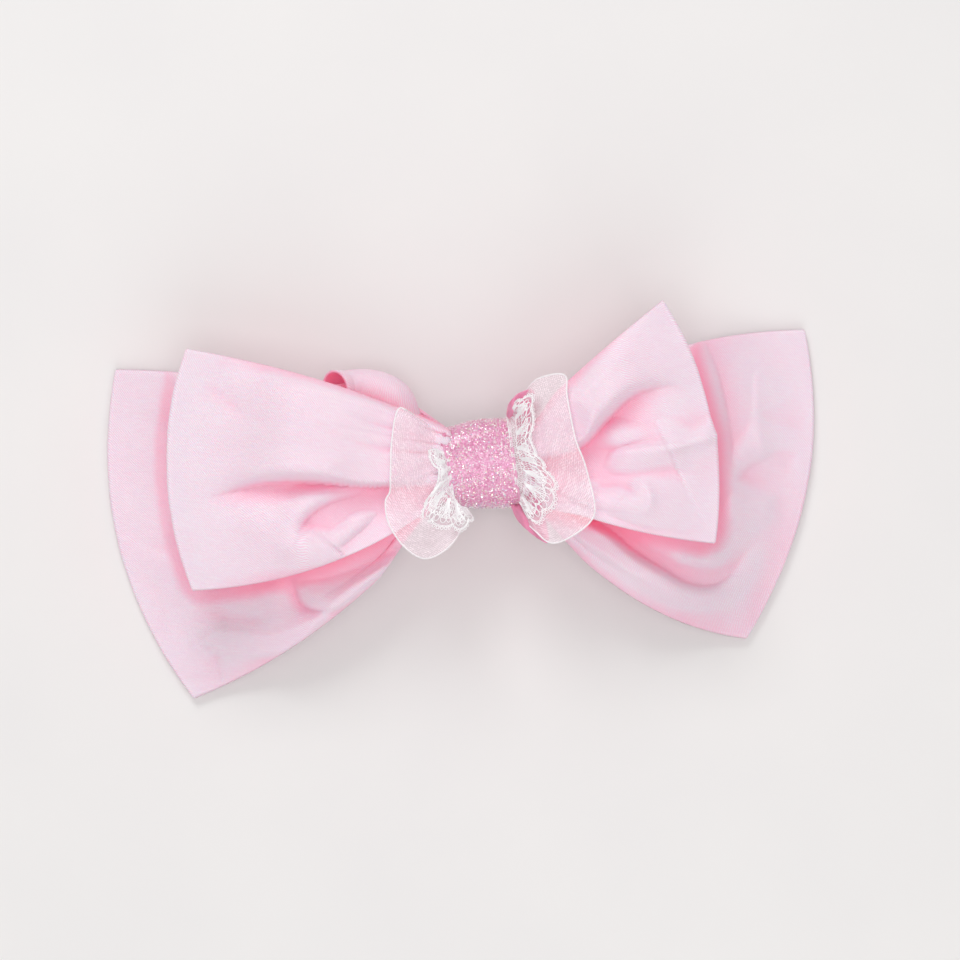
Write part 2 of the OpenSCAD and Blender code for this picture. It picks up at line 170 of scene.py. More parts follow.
def doubled_cloth(name, mid, t, material, rim=1.2):
    """A pressed tube of cloth round a mid surface: its outer and inner faces stand half of t off,
    and come together in a round rim along both long edges. The short ends are closed, inside the gather."""
    nu, nv = mid.shape[:2]
    normal = grid_normals(mid)
    across = run_lengths(mid, 1)
    width = across[:, -1:]
    edge = np.minimum(across, width - across) / rim
    half = t / 2 * np.sqrt(1 - (1 - np.clip(edge, 0, 1)) ** 2)[..., None]
    outer = mid + normal * half
    inner = (mid - normal * half)[:, -2:0:-1]
    ring = np.concatenate([outer, inner], axis=1)
    along = run_lengths(mid, 0)[:, nv // 2][:, None]
    uv_out = np.stack([np.broadcast_to(along, across.shape), across], -1)
    uv = np.concatenate([uv_out, uv_out[:, -2:0:-1] + [0, 200.0]], axis=1)
    count = ring.shape[1]
    j = np.arange(nv - 1)
    under = np.where(j == 0, 0, count - j)
    under_next = np.where(j + 1 == nv - 1, nv - 1, count - j - 1)
    first = np.stack([j, j + 1, under_next, under], -1)
    last = (first + (nu - 1) * count)[:, ::-1]
    faces = np.vstack([grid_faces(nu, count, close_v=True), first, last])
    return make_piece(name, ring, faces, material, uv)


def tubes(paths, radius, sides=6, close=False):
    """Round tubes along many paths of the same number of points: points, faces and a map.
    Each ring lies across the path, on two directions square to it."""
    p = np.asarray(paths, float)
    n, m = p.shape[:2]
    tangent = np.gradient(p, axis=1)
    if close:
        tangent = np.roll(p, -1, 1) - np.roll(p, 1, 1)
    tangent /= np.maximum(np.linalg.norm(tangent, axis=-1, keepdims=True), 1e-9)
    up = np.where(np.abs(tangent[..., 2:]) < 0.9, [0.0, 0.0, 1.0], [1.0, 0.0, 0.0])
    a = np.cross(tangent, up)
    a /= np.linalg.norm(a, axis=-1, keepdims=True)
    b = np.cross(tangent, a)
    turn = np.linspace(0, 2 * np.pi, sides, endpoint=False)
    ring = (p[:, :, None] + np.asarray(radius)
            * (a[:, :, None] * np.cos(turn)[:, None] + b[:, :, None] * np.sin(turn)[:, None]))
    one = grid_faces(m, sides, close_u=close, close_v=True)[:, ::-1]
    faces = (one[None] + (np.arange(n) * m * sides)[:, None, None]).reshape(-1, 4)
    return ring.reshape(-1, 3), faces


def unit(vectors):
    """Vectors brought to length one."""
    return vectors / np.linalg.norm(vectors, axis=-1, keepdims=True)


def joined(shells):
    """Points and faces of several shells as one: each shell's faces are numbered on from the last one's
    points."""
    starts = np.cumsum([0] + [len(points) for points, _ in shells])
    faces = [faces + start for (_, faces), start in zip(shells, starts)]
    return np.vstack([points for points, _ in shells]), np.vstack(faces)


def four_nearest(field, i, j):
    """Reads a grid between its points, by mixing the four nearest ones."""
    i0, j0 = i.astype(int), j.astype(int)
    fi, fj = i - i0, j - j0
    if field.ndim > 2:
        fi, fj = fi[..., None], fj[..., None]
    return ((1 - fi) * (1 - fj) * field[i0, j0] + fi * (1 - fj) * field[i0 + 1, j0]
            + (1 - fi) * fj * field[i0, j0 + 1] + fi * fj * field[i0 + 1, j0 + 1])


# ---------------------------------------------------------------- materials
COLOUR, NUMBER, PLACE = "NodeSocketColor", "NodeSocketFloat", "NodeSocketVector"


def group_sockets(name, inputs, outputs):
    """A new shader node group with named inputs and outputs, and its two end nodes."""
    tree = bpy.data.node_groups.new(name, "ShaderNodeTree")
    for side, sockets in (("INPUT", inputs), ("OUTPUT", outputs)):
        for label, kind in sockets:
            tree.interface.new_socket(name=label, in_out=side, socket_type=kind)
    return tree, tree.nodes.new("NodeGroupInput"), tree.nodes.new("NodeGroupOutput")


def feed(tree, socket, value):
    """Links a socket's input if the value is another socket, and sets it if the value is plain."""
    if isinstance(value, bpy.types.NodeSocket):
        tree.links.new(value, socket)
    else:
        socket.default_value = value


def feed_all(tree, node, values):
    """Links or sets several inputs of a node, by name."""
    for label, value in values.items():
        feed(tree, node.inputs[label], value)
    return node


def math_node(tree, operation, a, b=None, c=None, clamp=False):
    """One sum on sockets or plain numbers."""
    node = tree.nodes.new("ShaderNodeMath")
    node.operation = operation
    node.use_clamp = clamp
    for socket, value in zip(node.inputs, (a, b, c)):
        if value is not None:
            feed(tree, socket, value)
    return node.outputs[0]


def blended(tree, a, share_a, b, share_b):
    """Two values added, each multiplied by its share."""
    return math_node(tree, "ADD", math_node(tree, "MULTIPLY", a, share_a),
                     math_node(tree, "MULTIPLY", b, share_b))


def noise(tree, vector, scale, detail=3.0, rough=0.5, stretch=None):
    """Soft noise at a place, stretched along some directions if asked."""
    if stretch is not None:
        mapping = tree.nodes.new("ShaderNodeMapping")
        vector = feed_all(tree, mapping, {"Scale": stretch, "Vector": vector}).outputs[0]
    node = tree.nodes.new("ShaderNodeTexNoise")
    return feed_all(tree, node, {"Scale": scale, "Detail": detail, "Roughness": rough,
                                 "Vector": vector}).outputs["Fac"]


def cells(tree, vector, scale):
    """Irregular cells, each with random values of its own: three of them."""
    node = tree.nodes.new("ShaderNodeTexVoronoi")
    split = tree.nodes.new("ShaderNodeSeparateColor")
    feed_all(tree, node, {"Scale": scale, "Vector": vector})
    tree.links.new(node.outputs["Color"], split.inputs[0])
    return split.outputs


def ramp(tree, fac, stops):
    """A colour read from a few stops by a value."""
    node = tree.nodes.new("ShaderNodeValToRGB")
    while len(node.color_ramp.elements) < len(stops):
        node.color_ramp.elements.new(0.5)
    for element, (place, colour) in zip(node.color_ramp.elements, stops):
        element.position = place
        element.color = colour
    tree.links.new(fac, node.inputs["Fac"])
    return node.outputs["Color"]


def twill_group():
    """Diagonal twill lines with uneven yarns: a height and a light-to-dark tone."""
    tree, inp, out = group_sockets("twill_weave", [("Map", PLACE), ("Pitch", NUMBER)],
                                   [("Height", NUMBER), ("Tone", NUMBER)])
    get = inp.outputs
    split = tree.nodes.new("ShaderNodeSeparateXYZ")
    tree.links.new(get["Map"], split.inputs[0])
    diagonal = math_node(tree, "ADD", split.outputs[0], split.outputs[1])
    waver = noise(tree, get["Map"], 0.6, 2.0)
    diagonal = math_node(tree, "ADD", diagonal, math_node(tree, "MULTIPLY", waver, 0.9))
    phase = math_node(tree, "MULTIPLY", math_node(tree, "DIVIDE", diagonal, get["Pitch"]), 2 * np.pi)
    rib = math_node(tree, "MULTIPLY_ADD", math_node(tree, "SINE", phase), 0.5, 0.5)
    yarn = noise(tree, get["Map"], 1.0, 2.0, 0.6, stretch=(0.25, 3.2, 1))
    feed_all(tree, out, {"Height": blended(tree, rib, 0.7, yarn, 0.6),
                         "Tone": blended(tree, rib, 0.55, yarn, 0.45)})
    return tree


def place_group(tree, group, values):
    """Puts a node group in a tree, with its inputs linked or set by name."""
    node = tree.nodes.new("ShaderNodeGroup")
    node.node_tree = group
    return feed_all(tree, node, values).outputs


def mix(tree, share, a, b, blend="MIX"):
    """Mixes two colours; each may be a socket or a plain colour."""
    node = tree.nodes.new("ShaderNodeMix")
    node.data_type = "RGBA"
    node.blend_type = blend
    return feed_all(tree, node, {"Factor": share, "A": a, "B": b}).outputs["Result"]


def between(tree, value, low, high, to_low=0.0, to_high=1.0):
    """Carries a value from the range low to high over to another range, held at its ends."""
    node = tree.nodes.new("ShaderNodeMapRange")
    return feed_all(tree, node, {"Value": value, "From Min": low, "From Max": high, "To Min": to_low,
                                 "To Max": to_high}).outputs[0]


def new_material(name):
    """A new material with its tree and its Principled shader."""
    material = bpy.data.materials.new(name)
    material.use_nodes = True
    tree = material.node_tree
    return material, tree, tree.nodes["Principled BSDF"]


def cloth_map(tree):
    """Place on the cloth, in millimetres along and across it."""
    node = tree.nodes.new("ShaderNodeUVMap")
    node.uv_map = "cloth_mm"
    return node.outputs[0]


def object_mm(tree):
    """Object coordinates turned into millimetres."""
    coordinate = tree.nodes.new("ShaderNodeTexCoord")
    mapping = tree.nodes.new("ShaderNodeMapping")
    mapping.inputs["Scale"].default_value = (1000, 1000, 1000)
    tree.links.new(coordinate.outputs["Object"], mapping.inputs["Vector"])
    return mapping.outputs[0]


def bump(tree, height, distance, strength):
    """A bump from a height, for a shader's Normal."""
    node = tree.nodes.new("ShaderNodeBump")
    return feed_all(tree, node, {"Distance": distance, "Strength": strength, "Height": height}).outputs[0]


TWILL = twill_group()
TWILL_PITCH = 0.66              # millimetres from one twill line to the next
PALE_PINK, SHADED_PINK = (0.99, 0.835, 0.92, 1), (0.94, 0.61, 0.76, 1)
# Painted shade: the colour on the next line multiplies the satin's colour by its nook value, so folds and gaps
# between layers turn deeper pink. Painted glow: the two colours after it are emission colours, faint on open
# faces and strong deep in folds, standing in for light bounced between and passed through the cloth.
FOLD_PAINTED_SHADE = (1.0, 0.26, 0.42, 1)
FACE_PAINTED_GLOW, FOLD_PAINTED_GLOW = (0.16, 0.05, 0.08, 1), (0.95, 0.13, 0.24, 1)


def satin_group():
    """Satin from its weave: a colour between two tones, made pinker in the nooks by painted shade, a painted
    glow there standing in for light passed through and bounced inside the cloth, a roughness and a height."""
    tree, inp, out = group_sockets(
        "satin_cloth",
        [("Map", PLACE), ("Nook", NUMBER), ("Light", COLOUR), ("Dark", COLOUR), ("Nook Glow", COLOUR)],
        [("Colour", COLOUR), ("Glow", COLOUR), ("Roughness", NUMBER), ("Height", NUMBER)])
    get = inp.outputs
    weave = place_group(tree, TWILL, {"Map": get["Map"], "Pitch": TWILL_PITCH})
    tone = blended(tree, weave["Tone"], 0.8, noise(tree, get["Map"], 0.05, 2.0), 0.2)
    open_colour = mix(tree, between(tree, tone, 0.3, 0.7), get["Dark"], get["Light"])
    crumple = noise(tree, get["Map"], 0.16, 4.0, 0.6, stretch=(0.5, 1, 1))
    # Painted shade and painted glow: the nook value pulls the colour towards the fold colour and the emission
    # towards the strong fold glow.
    feed_all(tree, out, {"Colour": mix(tree, get["Nook"], open_colour, FOLD_PAINTED_SHADE, "MULTIPLY"),
                         "Glow": mix(tree, get["Nook"], FACE_PAINTED_GLOW, get["Nook Glow"]),
                         "Roughness": between(tree, weave["Tone"], 0.2, 0.8, 0.56, 0.42),
                         "Height": blended(tree, weave["Height"], 0.24, crumple, 0.5)})
    return tree


def thread_group():
    """Twisted thread: slanting plies, lighter and darker, and their height."""
    tree, inp, out = group_sockets("twisted_thread", [("Where", PLACE), ("Colour", COLOUR)],
                                   [("Colour", COLOUR), ("Height", NUMBER)])
    get = inp.outputs
    twist = noise(tree, get["Where"], 2.5, 3.0, 0.6)
    dark = mix(tree, 1.0, get["Colour"], (0.8, 0.8, 0.8, 1), "MULTIPLY")
    feed_all(tree, out, {"Colour": mix(tree, between(tree, twist, 0.3, 0.7), dark, get["Colour"]),
                         "Height": twist})
    return tree


THREAD_PITCH = 0.5              # millimetres between the threads of sheer cloth


def sheer_group():
    """Organza or net: thin crossed threads, seen through between them, uneven in density, and with
    scattered painted glints: threads in random cells made brighter and more solid, as if catching the light."""
    tree, inp, out = group_sockets(
        "sheer_weave",
        [("Map", PLACE), ("Colour", COLOUR), ("Thinnest", NUMBER), ("Densest", NUMBER), ("Sparkle", NUMBER)],
        [("Colour", COLOUR), ("Alpha", NUMBER), ("Height", NUMBER)])
    get = inp.outputs
    split = tree.nodes.new("ShaderNodeSeparateXYZ")
    tree.links.new(get["Map"], split.inputs[0])
    lines = [math_node(tree, "SINE", math_node(tree, "MULTIPLY", split.outputs[k], 2 * np.pi / THREAD_PITCH))
             for k in (0, 1)]
    threads = between(tree, math_node(tree, "MAXIMUM", *lines), -1.0, 1.0)
    cloud = noise(tree, get["Map"], 0.25, 2.0)
    # Painted glints: random cells brightened and made more solid by Sparkle.
    bright = math_node(tree, "GREATER_THAN", cells(tree, get["Map"], 3.4)[0], 0.72)
    glint = math_node(tree, "MULTIPLY", bright, get["Sparkle"])
    alpha = between(tree, blended(tree, threads, 0.7, cloud, 0.3), 0.0, 1.0, get["Thinnest"], get["Densest"])
    tone = math_node(tree, "ADD", math_node(tree, "MULTIPLY", cloud, 0.6), glint)
    dull = mix(tree, 1.0, get["Colour"], (0.97, 0.88, 0.92, 1), "MULTIPLY")
    feed_all(tree, out, {"Alpha": math_node(tree, "ADD", alpha, glint, clamp=True),
                         "Colour": mix(tree, between(tree, tone, 0.2, 0.7), dull, get["Colour"]),
                         "Height": threads})
    return tree


def steel_group():
    """Plated steel: fine brushing along the clip and a little wear, from stretched noise."""
    tree, inp, out = group_sockets(
        "brushed_steel", [("Where", PLACE), ("Colour", COLOUR), ("Polish", NUMBER), ("Scratches", NUMBER)],
        [("Colour", COLOUR), ("Roughness", NUMBER), ("Height", NUMBER)])
    get = inp.outputs
    brush = noise(tree, get["Where"], 1.0, 4.0, 0.6, stretch=(0.12, 6, 6))
    worn = noise(tree, get["Where"], 0.35, 4.0, 0.65)
    dull = mix(tree, 1.0, get["Colour"], (0.78, 0.78, 0.78, 1), "MULTIPLY")
    roughness = math_node(tree, "ADD", blended(tree, brush, get["Scratches"], worn, 0.12), get["Polish"])
    feed_all(tree, out, {"Colour": mix(tree, between(tree, worn, 0.35, 0.62), dull, get["Colour"]),
                         "Roughness": roughness, "Height": brush})
    return tree


SATIN_CLOTH = satin_group()
TWISTED_THREAD = thread_group()
SHEER_WEAVE = sheer_group()
BRUSHED_STEEL = steel_group()


def satin(name, light, dark, glow):
    """Twill satin: a soft broad highlight, threads that shift its colour, painted shade in its folds, and a
    painted glow (emission) standing in for light passing through its folds."""
    material, tree, shader = new_material(name)
    # The nook value of each point sets the painted fold shade and the painted glow.
    nook = tree.nodes.new("ShaderNodeAttribute")
    nook.attribute_name = "nook"
    cloth = place_group(tree, SATIN_CLOTH, {"Map": cloth_map(tree), "Nook": nook.outputs["Fac"], "Light": light,
                                            "Dark": dark, "Nook Glow": glow})
    feed_all(tree, shader, {"Base Color": cloth["Colour"], "Emission Color": cloth["Glow"],
                            "Roughness": cloth["Roughness"],
                            "Normal": bump(tree, cloth["Height"], 0.001, 0.35), "Specular IOR Level": 0.8,
                            "IOR": 1.6, "Sheen Weight": 0.2, "Sheen Roughness": 0.4,
                            "Sheen Tint": (1.0, 0.88, 0.95, 1), "Subsurface Weight": 0.4,
                            "Subsurface Radius": (1.0, 0.35, 0.45), "Subsurface Scale": 0.003,
                            "Emission Strength": 0.17})
    return material


def thread_material(name, colour, glow=0.0):
    """Twisted thread, matt and a little fuzzy, with a painted glow in its own colour when glow is above 0."""
    material, tree, shader = new_material(name)
    thread = place_group(tree, TWISTED_THREAD, {"Where": object_mm(tree), "Colour": colour})
    feed_all(tree, shader, {"Base Color": thread["Colour"], "Roughness": 0.7, "Emission Color": colour,
                            "Emission Strength": glow, "Sheen Weight": 0.2,
                            "Normal": bump(tree, thread["Height"], 0.0002, 0.5)})
    return material


def sheer(name, colour, thinnest, densest, sparkle=0.0):
    """See-through cloth whose threads stop between thinnest and densest of the light, with a faint painted glow
    in its own colour and painted glints set by sparkle.
    """
    material, tree, shader = new_material(name)
    weave = place_group(tree, SHEER_WEAVE, {"Map": cloth_map(tree), "Colour": colour, "Thinnest": thinnest,
                                            "Densest": densest, "Sparkle": sparkle})
    feed_all(tree, shader, {"Alpha": weave["Alpha"], "Base Color": weave["Colour"], "Roughness": 0.4,
                            "Sheen Weight": 0.3, "Emission Color": colour, "Emission Strength": 0.07,
                            "Normal": bump(tree, weave["Height"], 0.0001, 0.3)})
    return material


def metal(name, colour, polish, scratches):
    """Plated steel with its own colour, polish and depth of brushing."""
    material, tree, shader = new_material(name)
    steel = place_group(tree, BRUSHED_STEEL, {"Where": object_mm(tree), "Colour": colour, "Polish": polish,
                                              "Scratches": scratches})
    feed_all(tree, shader, {"Metallic": 1.0, "Base Color": steel["Colour"], "Roughness": steel["Roughness"],
                            "Normal": bump(tree, steel["Height"], 0.00005, 0.4)})
    return material


def felted(name, colour):
    """Pressed felt: short matted fibres in every direction."""
    material, tree, shader = new_material(name)
    fibre = noise(tree, object_mm(tree), 2.2, 6.0, 0.75)
    dark = [c * 0.82 for c in colour[:3]] + [1]
    feed_all(tree, shader, {"Base Color": ramp(tree, fibre, [(0.3, dark), (0.7, colour)]),
                            "Roughness": 0.95, "Sheen Weight": 0.5,
                            "Normal": bump(tree, fibre, 0.0006, 0.8)})
    return material


def glue_material():
    """Cloudy hot glue."""
    material, tree, shader = new_material("hot_glue")
    cloud = noise(tree, object_mm(tree), 0.8, 3.0)
    colour = ramp(tree, cloud, [(0.3, (0.72, 0.66, 0.52, 1)), (0.7, (0.85, 0.81, 0.70, 1))])
    feed_all(tree, shader, {"Base Color": colour, "Roughness": 0.35, "Subsurface Weight": 0.5,
                            "Subsurface Scale": 0.001, "Normal": bump(tree, cloud, 0.0003, 0.4)})
    return material


def flake_material():
    """Glitter flakes: each has its own colour, stored with its corners, a mirror-like face, and a painted glow
    in that colour.
    """
    material, tree, shader = new_material("glitter_flakes")
    attribute = tree.nodes.new("ShaderNodeVertexColor")
    attribute.layer_name = "flake"
    grain = noise(tree, object_mm(tree), 3.0, 2.0)
    colour = attribute.outputs["Color"]
    feed_all(tree, shader, {"Base Color": colour,
                            "Roughness": math_node(tree, "MULTIPLY_ADD", grain, 0.2, 0.08),
                            "Metallic": 0.35, "Coat Weight": 0.6, "Emission Color": colour,
                            "Emission Strength": 0.16})
    return material


def glitter_base_material():
    """Pink ribbon under the flakes, grainy with the finest glitter."""
    material, tree, shader = new_material("glitter_ribbon")
    grain = cells(tree, object_mm(tree), 3.2)
    colour = ramp(tree, grain[0], [(0.0, (0.72, 0.24, 0.44, 1)), (0.5, (0.86, 0.36, 0.60, 1)),
                                   (0.88, (0.92, 0.50, 0.70, 1)), (0.97, (0.98, 0.86, 0.91, 1))])
    feed_all(tree, shader, {"Base Color": colour, "Roughness": 0.3, "Coat Weight": 0.3,
                            "Normal": bump(tree, grain[1], 0.0003, 0.8)})
    return material


# The last colour of each satin is its painted glow deep in folds.
SATIN_LARGE = satin("satin_large", PALE_PINK, SHADED_PINK, FOLD_PAINTED_GLOW)
SATIN_SMALL = satin("satin_small", PALE_PINK, SHADED_PINK, FOLD_PAINTED_GLOW)
SATIN_DEEP = satin("satin_deep", (0.88, 0.30, 0.46, 1), (0.80, 0.22, 0.38, 1), (0.9, 0.10, 0.22, 1))
ORGANZA = sheer("organza", (1.0, 0.89, 0.935, 1), 0.10, 0.72, 0.16)
LACE_NET = sheer("lace_net", (1.0, 0.97, 0.99, 1), 0.0, 0.16)
# The white selvedge and lace threads carry a painted glow.
SELVEDGE = thread_material("white_selvedge", (1.0, 0.95, 0.975, 1), 0.08)
LACE_THREAD = thread_material("lace_thread", (1.0, 0.99, 1.0, 1), 0.12)
BINDING = thread_material("binding_thread", (0.90, 0.70, 0.80, 1))
PINK_CORD = thread_material("pink_edge_cord", (0.90, 0.42, 0.62, 1))
NICKEL = metal("nickel_steel", (0.72, 0.71, 0.70, 1), 0.18, 0.25)
SPRING_STEEL = metal("spring_steel", (0.80, 0.80, 0.81, 1), 0.08, 0.15)
FELT = felted("pink_felt", (0.86, 0.58, 0.70, 1))
GLUE = glue_material()
FLAKES = flake_material()
GLITTER_BASE = glitter_base_material()


# ---------------------------------------------------------------- heights of the two layers
def large_back(x, y, reach):
    """Back of the large layer: level over the barrette, then drooping to the table."""
    d = np.hypot(x, y)
    return loop_floor + (rest_gap - loop_floor) * ease((d - plateau) / (reach + 9 - plateau))


def thickness(x, y, reach, puff):
    """Front-to-back thickness of a loop: the gather's at the knot, swelling, and thin at the fold."""
    t = np.hypot(x, y) / (reach + 9)
    return gather_t + (fold_t - gather_t) * np.minimum(t, 1) + (puff - 4.5) * swell(t)


def reach_of(x, left, right):
    return np.where(x < 0, left["reach"], right["reach"])


def large_front(x, y):
    reach = reach_of(x, LARGE_LEFT, LARGE_RIGHT)
    return large_back(x, y, reach) + thickness(x, y, reach, large_puff)


def small_back(x, y):
    """Back of the small layer: just over the large one, lifting away from it towards the folds."""
    t = np.hypot(x, y) / (reach_of(x, SMALL_LEFT, SMALL_RIGHT) + 9)
    lift = np.where(x < 0, 5.0, 9.0 + 5.0 * ease(y / 40))
    under, level, soft = large_front(x, y), small_z - 0.3, 2.0
    highest = soft * np.logaddexp(under / soft, level / soft)
    return highest + 0.3 + lift * t * t


def small_front(x, y):
    return small_back(x, y) + thickness(x, y, reach_of(x, SMALL_LEFT, SMALL_RIGHT), small_puff)


# ---------------------------------------------------------------- satin loops
def loop_plan(loop, u, v):
    """Plan of a loop: both long edges are quadratic curves from the gather to the fold's corners,
    points between them are shared out by v, the fold bulges outwards, and the loop turns to its droop."""
    lean = np.radians(-loop["lean"])
    edges = []
    for s, full in ((-1, loop["full"][1]), (1, loop["full"][0])):
        half = loop["width"] / 2 + s * loop.get("lift", 0.0)
        inner = np.array([gather_half, s * (gather_y - 0.4)])
        belly = np.array([loop["reach"] * loop["belly"], s * half * full])
        outer = np.array([loop["reach"] + half * np.sin(lean) * s, half * np.cos(lean) * s])
        edges.append((1 - u)[..., None] ** 2 * inner + (2 * u * (1 - u))[..., None] * belly
                     + u[..., None] ** 2 * outer)
    p = edges[0] * (1 - v)[..., None] + edges[1] * v[..., None]
    p[..., 0] += loop["bulge"] * 4 * v * (1 - v) * u ** 3
    a = np.radians(loop["turn"]) * ease(u * 3)
    x = gather_half + (p[..., 0] - gather_half) * np.cos(a) - p[..., 1] * np.sin(a)
    y = p[..., 1] * np.cos(a) + (p[..., 0] - gather_half) * np.sin(a)
    return loop["side"] * x, y


def fold_along(x, y, path, depth, near, far, fade=(0.12, 0.25), shoulder=0.0):
    """Height of one fold: falls off on the two sides of its path over the lengths near and far,
    and fades in and out along it. Depth is negative for a crease, positive for a ridge. A shoulder
    swells the cloth on the steeper side, as it does where one fold rolls over another."""
    line = smooth_path(path, 80)
    dx = x[..., None] - line[:, 0]
    dy = y[..., None] - line[:, 1]
    away = np.hypot(dx, dy)
    k = away.argmin(-1)
    tangent = np.gradient(line, axis=0)[k]
    pick = lambda array: np.take_along_axis(array, k[..., None], -1)[..., 0]
    side = tangent[..., 0] * pick(dy) - tangent[..., 1] * pick(dx)
    distance = pick(away)
    reach = np.where(side > 0, near, far)
    share = k / 79
    strength = ease(share / fade[0]) * ease((1 - share) / fade[1])
    profile = np.exp(-(np.sqrt(distance ** 2 + 0.12) - 0.34) / reach)
    steep = min(near, far)
    on_steep = (side > 0) == (near < far)
    rolled = np.where(on_steep, np.exp(-((distance - 2.4 * steep - 1.2) / (1.6 * steep + 1.6)) ** 2), 0)
    return depth * strength * (profile - shoulder * rolled)


def pleats(u, v, count, seed, depth):
    """Gathers that fan out from the waist: rounded ridges with sharp valleys, uneven in width,
    each dying out at its own distance."""
    rng = np.random.default_rng(seed)
    warped = v + 0.035 * wander(v, seed, 4, 1.0) + 0.01 * wander(u * 0.7 + v, seed + 1, 3, 1.0)
    wave = np.abs(np.sin(np.pi * count * warped + rng.random()))
    number = np.floor(warped * count + rng.random() * 0.2)
    length = 0.12 + 0.16 * (0.5 + 0.5 * np.sin(number * 2.4 + seed))
    return depth * (np.sqrt(wave + 0.02) - 0.85) * np.exp(-(u / length) ** 1.4)


def wrinkles(u, v, seed, size):
    """Soft random undulation of pressed satin, mostly along the loop."""
    a = wander(v * 1.6 + 0.25 * wander(u, seed + 5, 3, 0.7), seed, 4, 1.0)
    b = wander(u * 1.3 + 0.4 * v, seed + 9, 5, 1.0)
    return size * (0.65 * a * (1 - 0.5 * u) + 0.35 * b)


def satin_loop(name, loop, small, folds, seed, material, open_back=0.0):
    """One loop of doubled satin as a single sheet: out along the front, round the outer fold and back
    to the waist behind. Front and back heights are the layer's, lowered by its folds."""
    n_front, n_turn, n_back, n_across = 120, 13, 60, 110
    v = 0.5 - 0.5 * np.cos(np.pi * np.linspace(0, 1, n_across))
    v = 0.35 * v + 0.65 * np.linspace(0, 1, n_across)
    u_front = np.linspace(0, 1, n_front) ** 0.9
    low = small_back if small else (lambda x, y: large_back(x, y, loop["reach"]))
    high = small_front if small else large_front

    def ply(u, is_front):
        uu, vv = np.meshgrid(u, v, indexing="ij")
        x, y = loop_plan(loop, uu, vv)
        if not is_front:
            y = y + open_back * np.exp(-((uu - 0.24) / 0.13) ** 2) * ease((vv - 0.5) / 0.5)
        back, front = low(x, y), high(x, y)
        centre = (back + front) / 2
        rim = 1 - np.abs(2 * vv - 1) ** 5
        close = 1 - 0.62 * ease((uu - 0.55) / 0.45)
        half = (front - back) / 2 * (0.30 + 0.70 * rim) * close
        if is_front:
            z = centre + half * (1.0 if small else 0.86)
            pressed = wrinkles(uu, vv, seed, 0.5 if small else 0.8) * ease(uu * 4)
            z = z + pleats(uu, vv, 9, seed, 2.2) + pressed
            for f in folds:
                z = z + fold_along(x, y, *f) * ease(uu * 9)
            z = np.maximum(z, centre - 0.3 * half + satin_t * 0.6)
        else:
            z = centre - half * 0.92
            pressed = wrinkles(uu, vv, seed + 41, 0.4) * ease(uu * 4) * ease((1 - uu) * 4)
            z = z - pleats(uu, vv, 7, seed + 40, 1.2) + pressed
            z = np.minimum(z, centre - satin_t * 0.6)
        z = np.minimum(z, front - satin_t / 2 + (2.5 * ease((uu - 0.35) / 0.2) if small else 0.0))
        z = np.maximum(z, back + satin_t / 2)
        return np.stack([x, y, z], -1)

    front = ply(u_front, True)
    rear = ply(np.linspace(1, 0, n_back), False)
    a, b = front[-1], rear[0]
    angle = np.linspace(0, np.pi, n_turn + 2)[1:-1][:, None, None]
    centre, radius = (a + b) / 2, (a - b) / 2
    outward = np.stack(np.broadcast_arrays(front[-1, :, 0] - front[-3, :, 0],
                                           front[-1, :, 1] - front[-3, :, 1], 0 * front[-1, :, 0]), -1)
    outward /= np.linalg.norm(outward, axis=-1, keepdims=True)
    size = np.linalg.norm(radius, axis=-1, keepdims=True)
    turn = centre + np.cos(angle) * radius + np.sin(angle) * outward * size * 0.8
    mid = np.concatenate([front, turn, rear])
    if loop["side"] < 0:
        mid = mid[:, ::-1]
    return doubled_cloth(name, mid, satin_t, material)


small_left_folds = [
    # the upper half rolls over the lower one along the main crease
    ([(-12, -6.4), (-24.4, -6.1), (-37.6, -5.3), (-46.5, -4.8), (-55.3, -5.2), (-63.4, -7), (-74, -10)], -7.2,
     9.5, 0.9, (0.02, 0.5), 0.22),
    # second crease, bending down, and the soft hollow beside it
    ([(-12, -6.6), (-24.4, -7.4), (-34.7, -9.6), (-40.6, -11.6), (-45, -14.7), (-47.5, -19)], -5.6, 6.0, 0.9,
     (0.02, 0.4), 0.25),
    ([(-30, -14), (-38, -14.5), (-45, -17), (-50, -22)], -2.6, 3.5, 3.5, (0.4, 0.4)),
    ([(-37, -12.5), (-42, -16), (-46, -19.5), (-51, -24)], 1.3, 1.6, 2.2, (0.3, 0.4)),
    # crease that nips the lower edge by the waist
    ([(-12, -9), (-20, -11.5), (-27, -15), (-34, -19.5), (-40, -23)], -4.2, 2.6, 1.0, (0.05, 0.5), 0.25),
    # shallow dents and short pleats of the upper half
    ([(-74, 22), (-68, 18), (-60, 12), (-50, 8)], -0.8, 6.0, 6.0, (0.3, 0.5)),
    ([(-12, 6), (-22, 8), (-30, 10.5), (-40, 14)], -1.6, 1.6, 1.4, (0.02, 0.6), 0.2),
    ([(-12, 2.5), (-24, 3.5), (-34, 5.5), (-46, 9)], -1.4, 2.2, 1.4, (0.02, 0.7), 0.2),
    ([(-12, -2), (-23, -2.2), (-30, -0.6), (-38, 1.5)], -1.6, 1.4, 1.2, (0.02, 0.7), 0.2),
    ([(-20, 12), (-36, 16), (-50, 20), (-66, 25)], 0.9, 3.0, 3.0, (0.2, 0.4)),
]
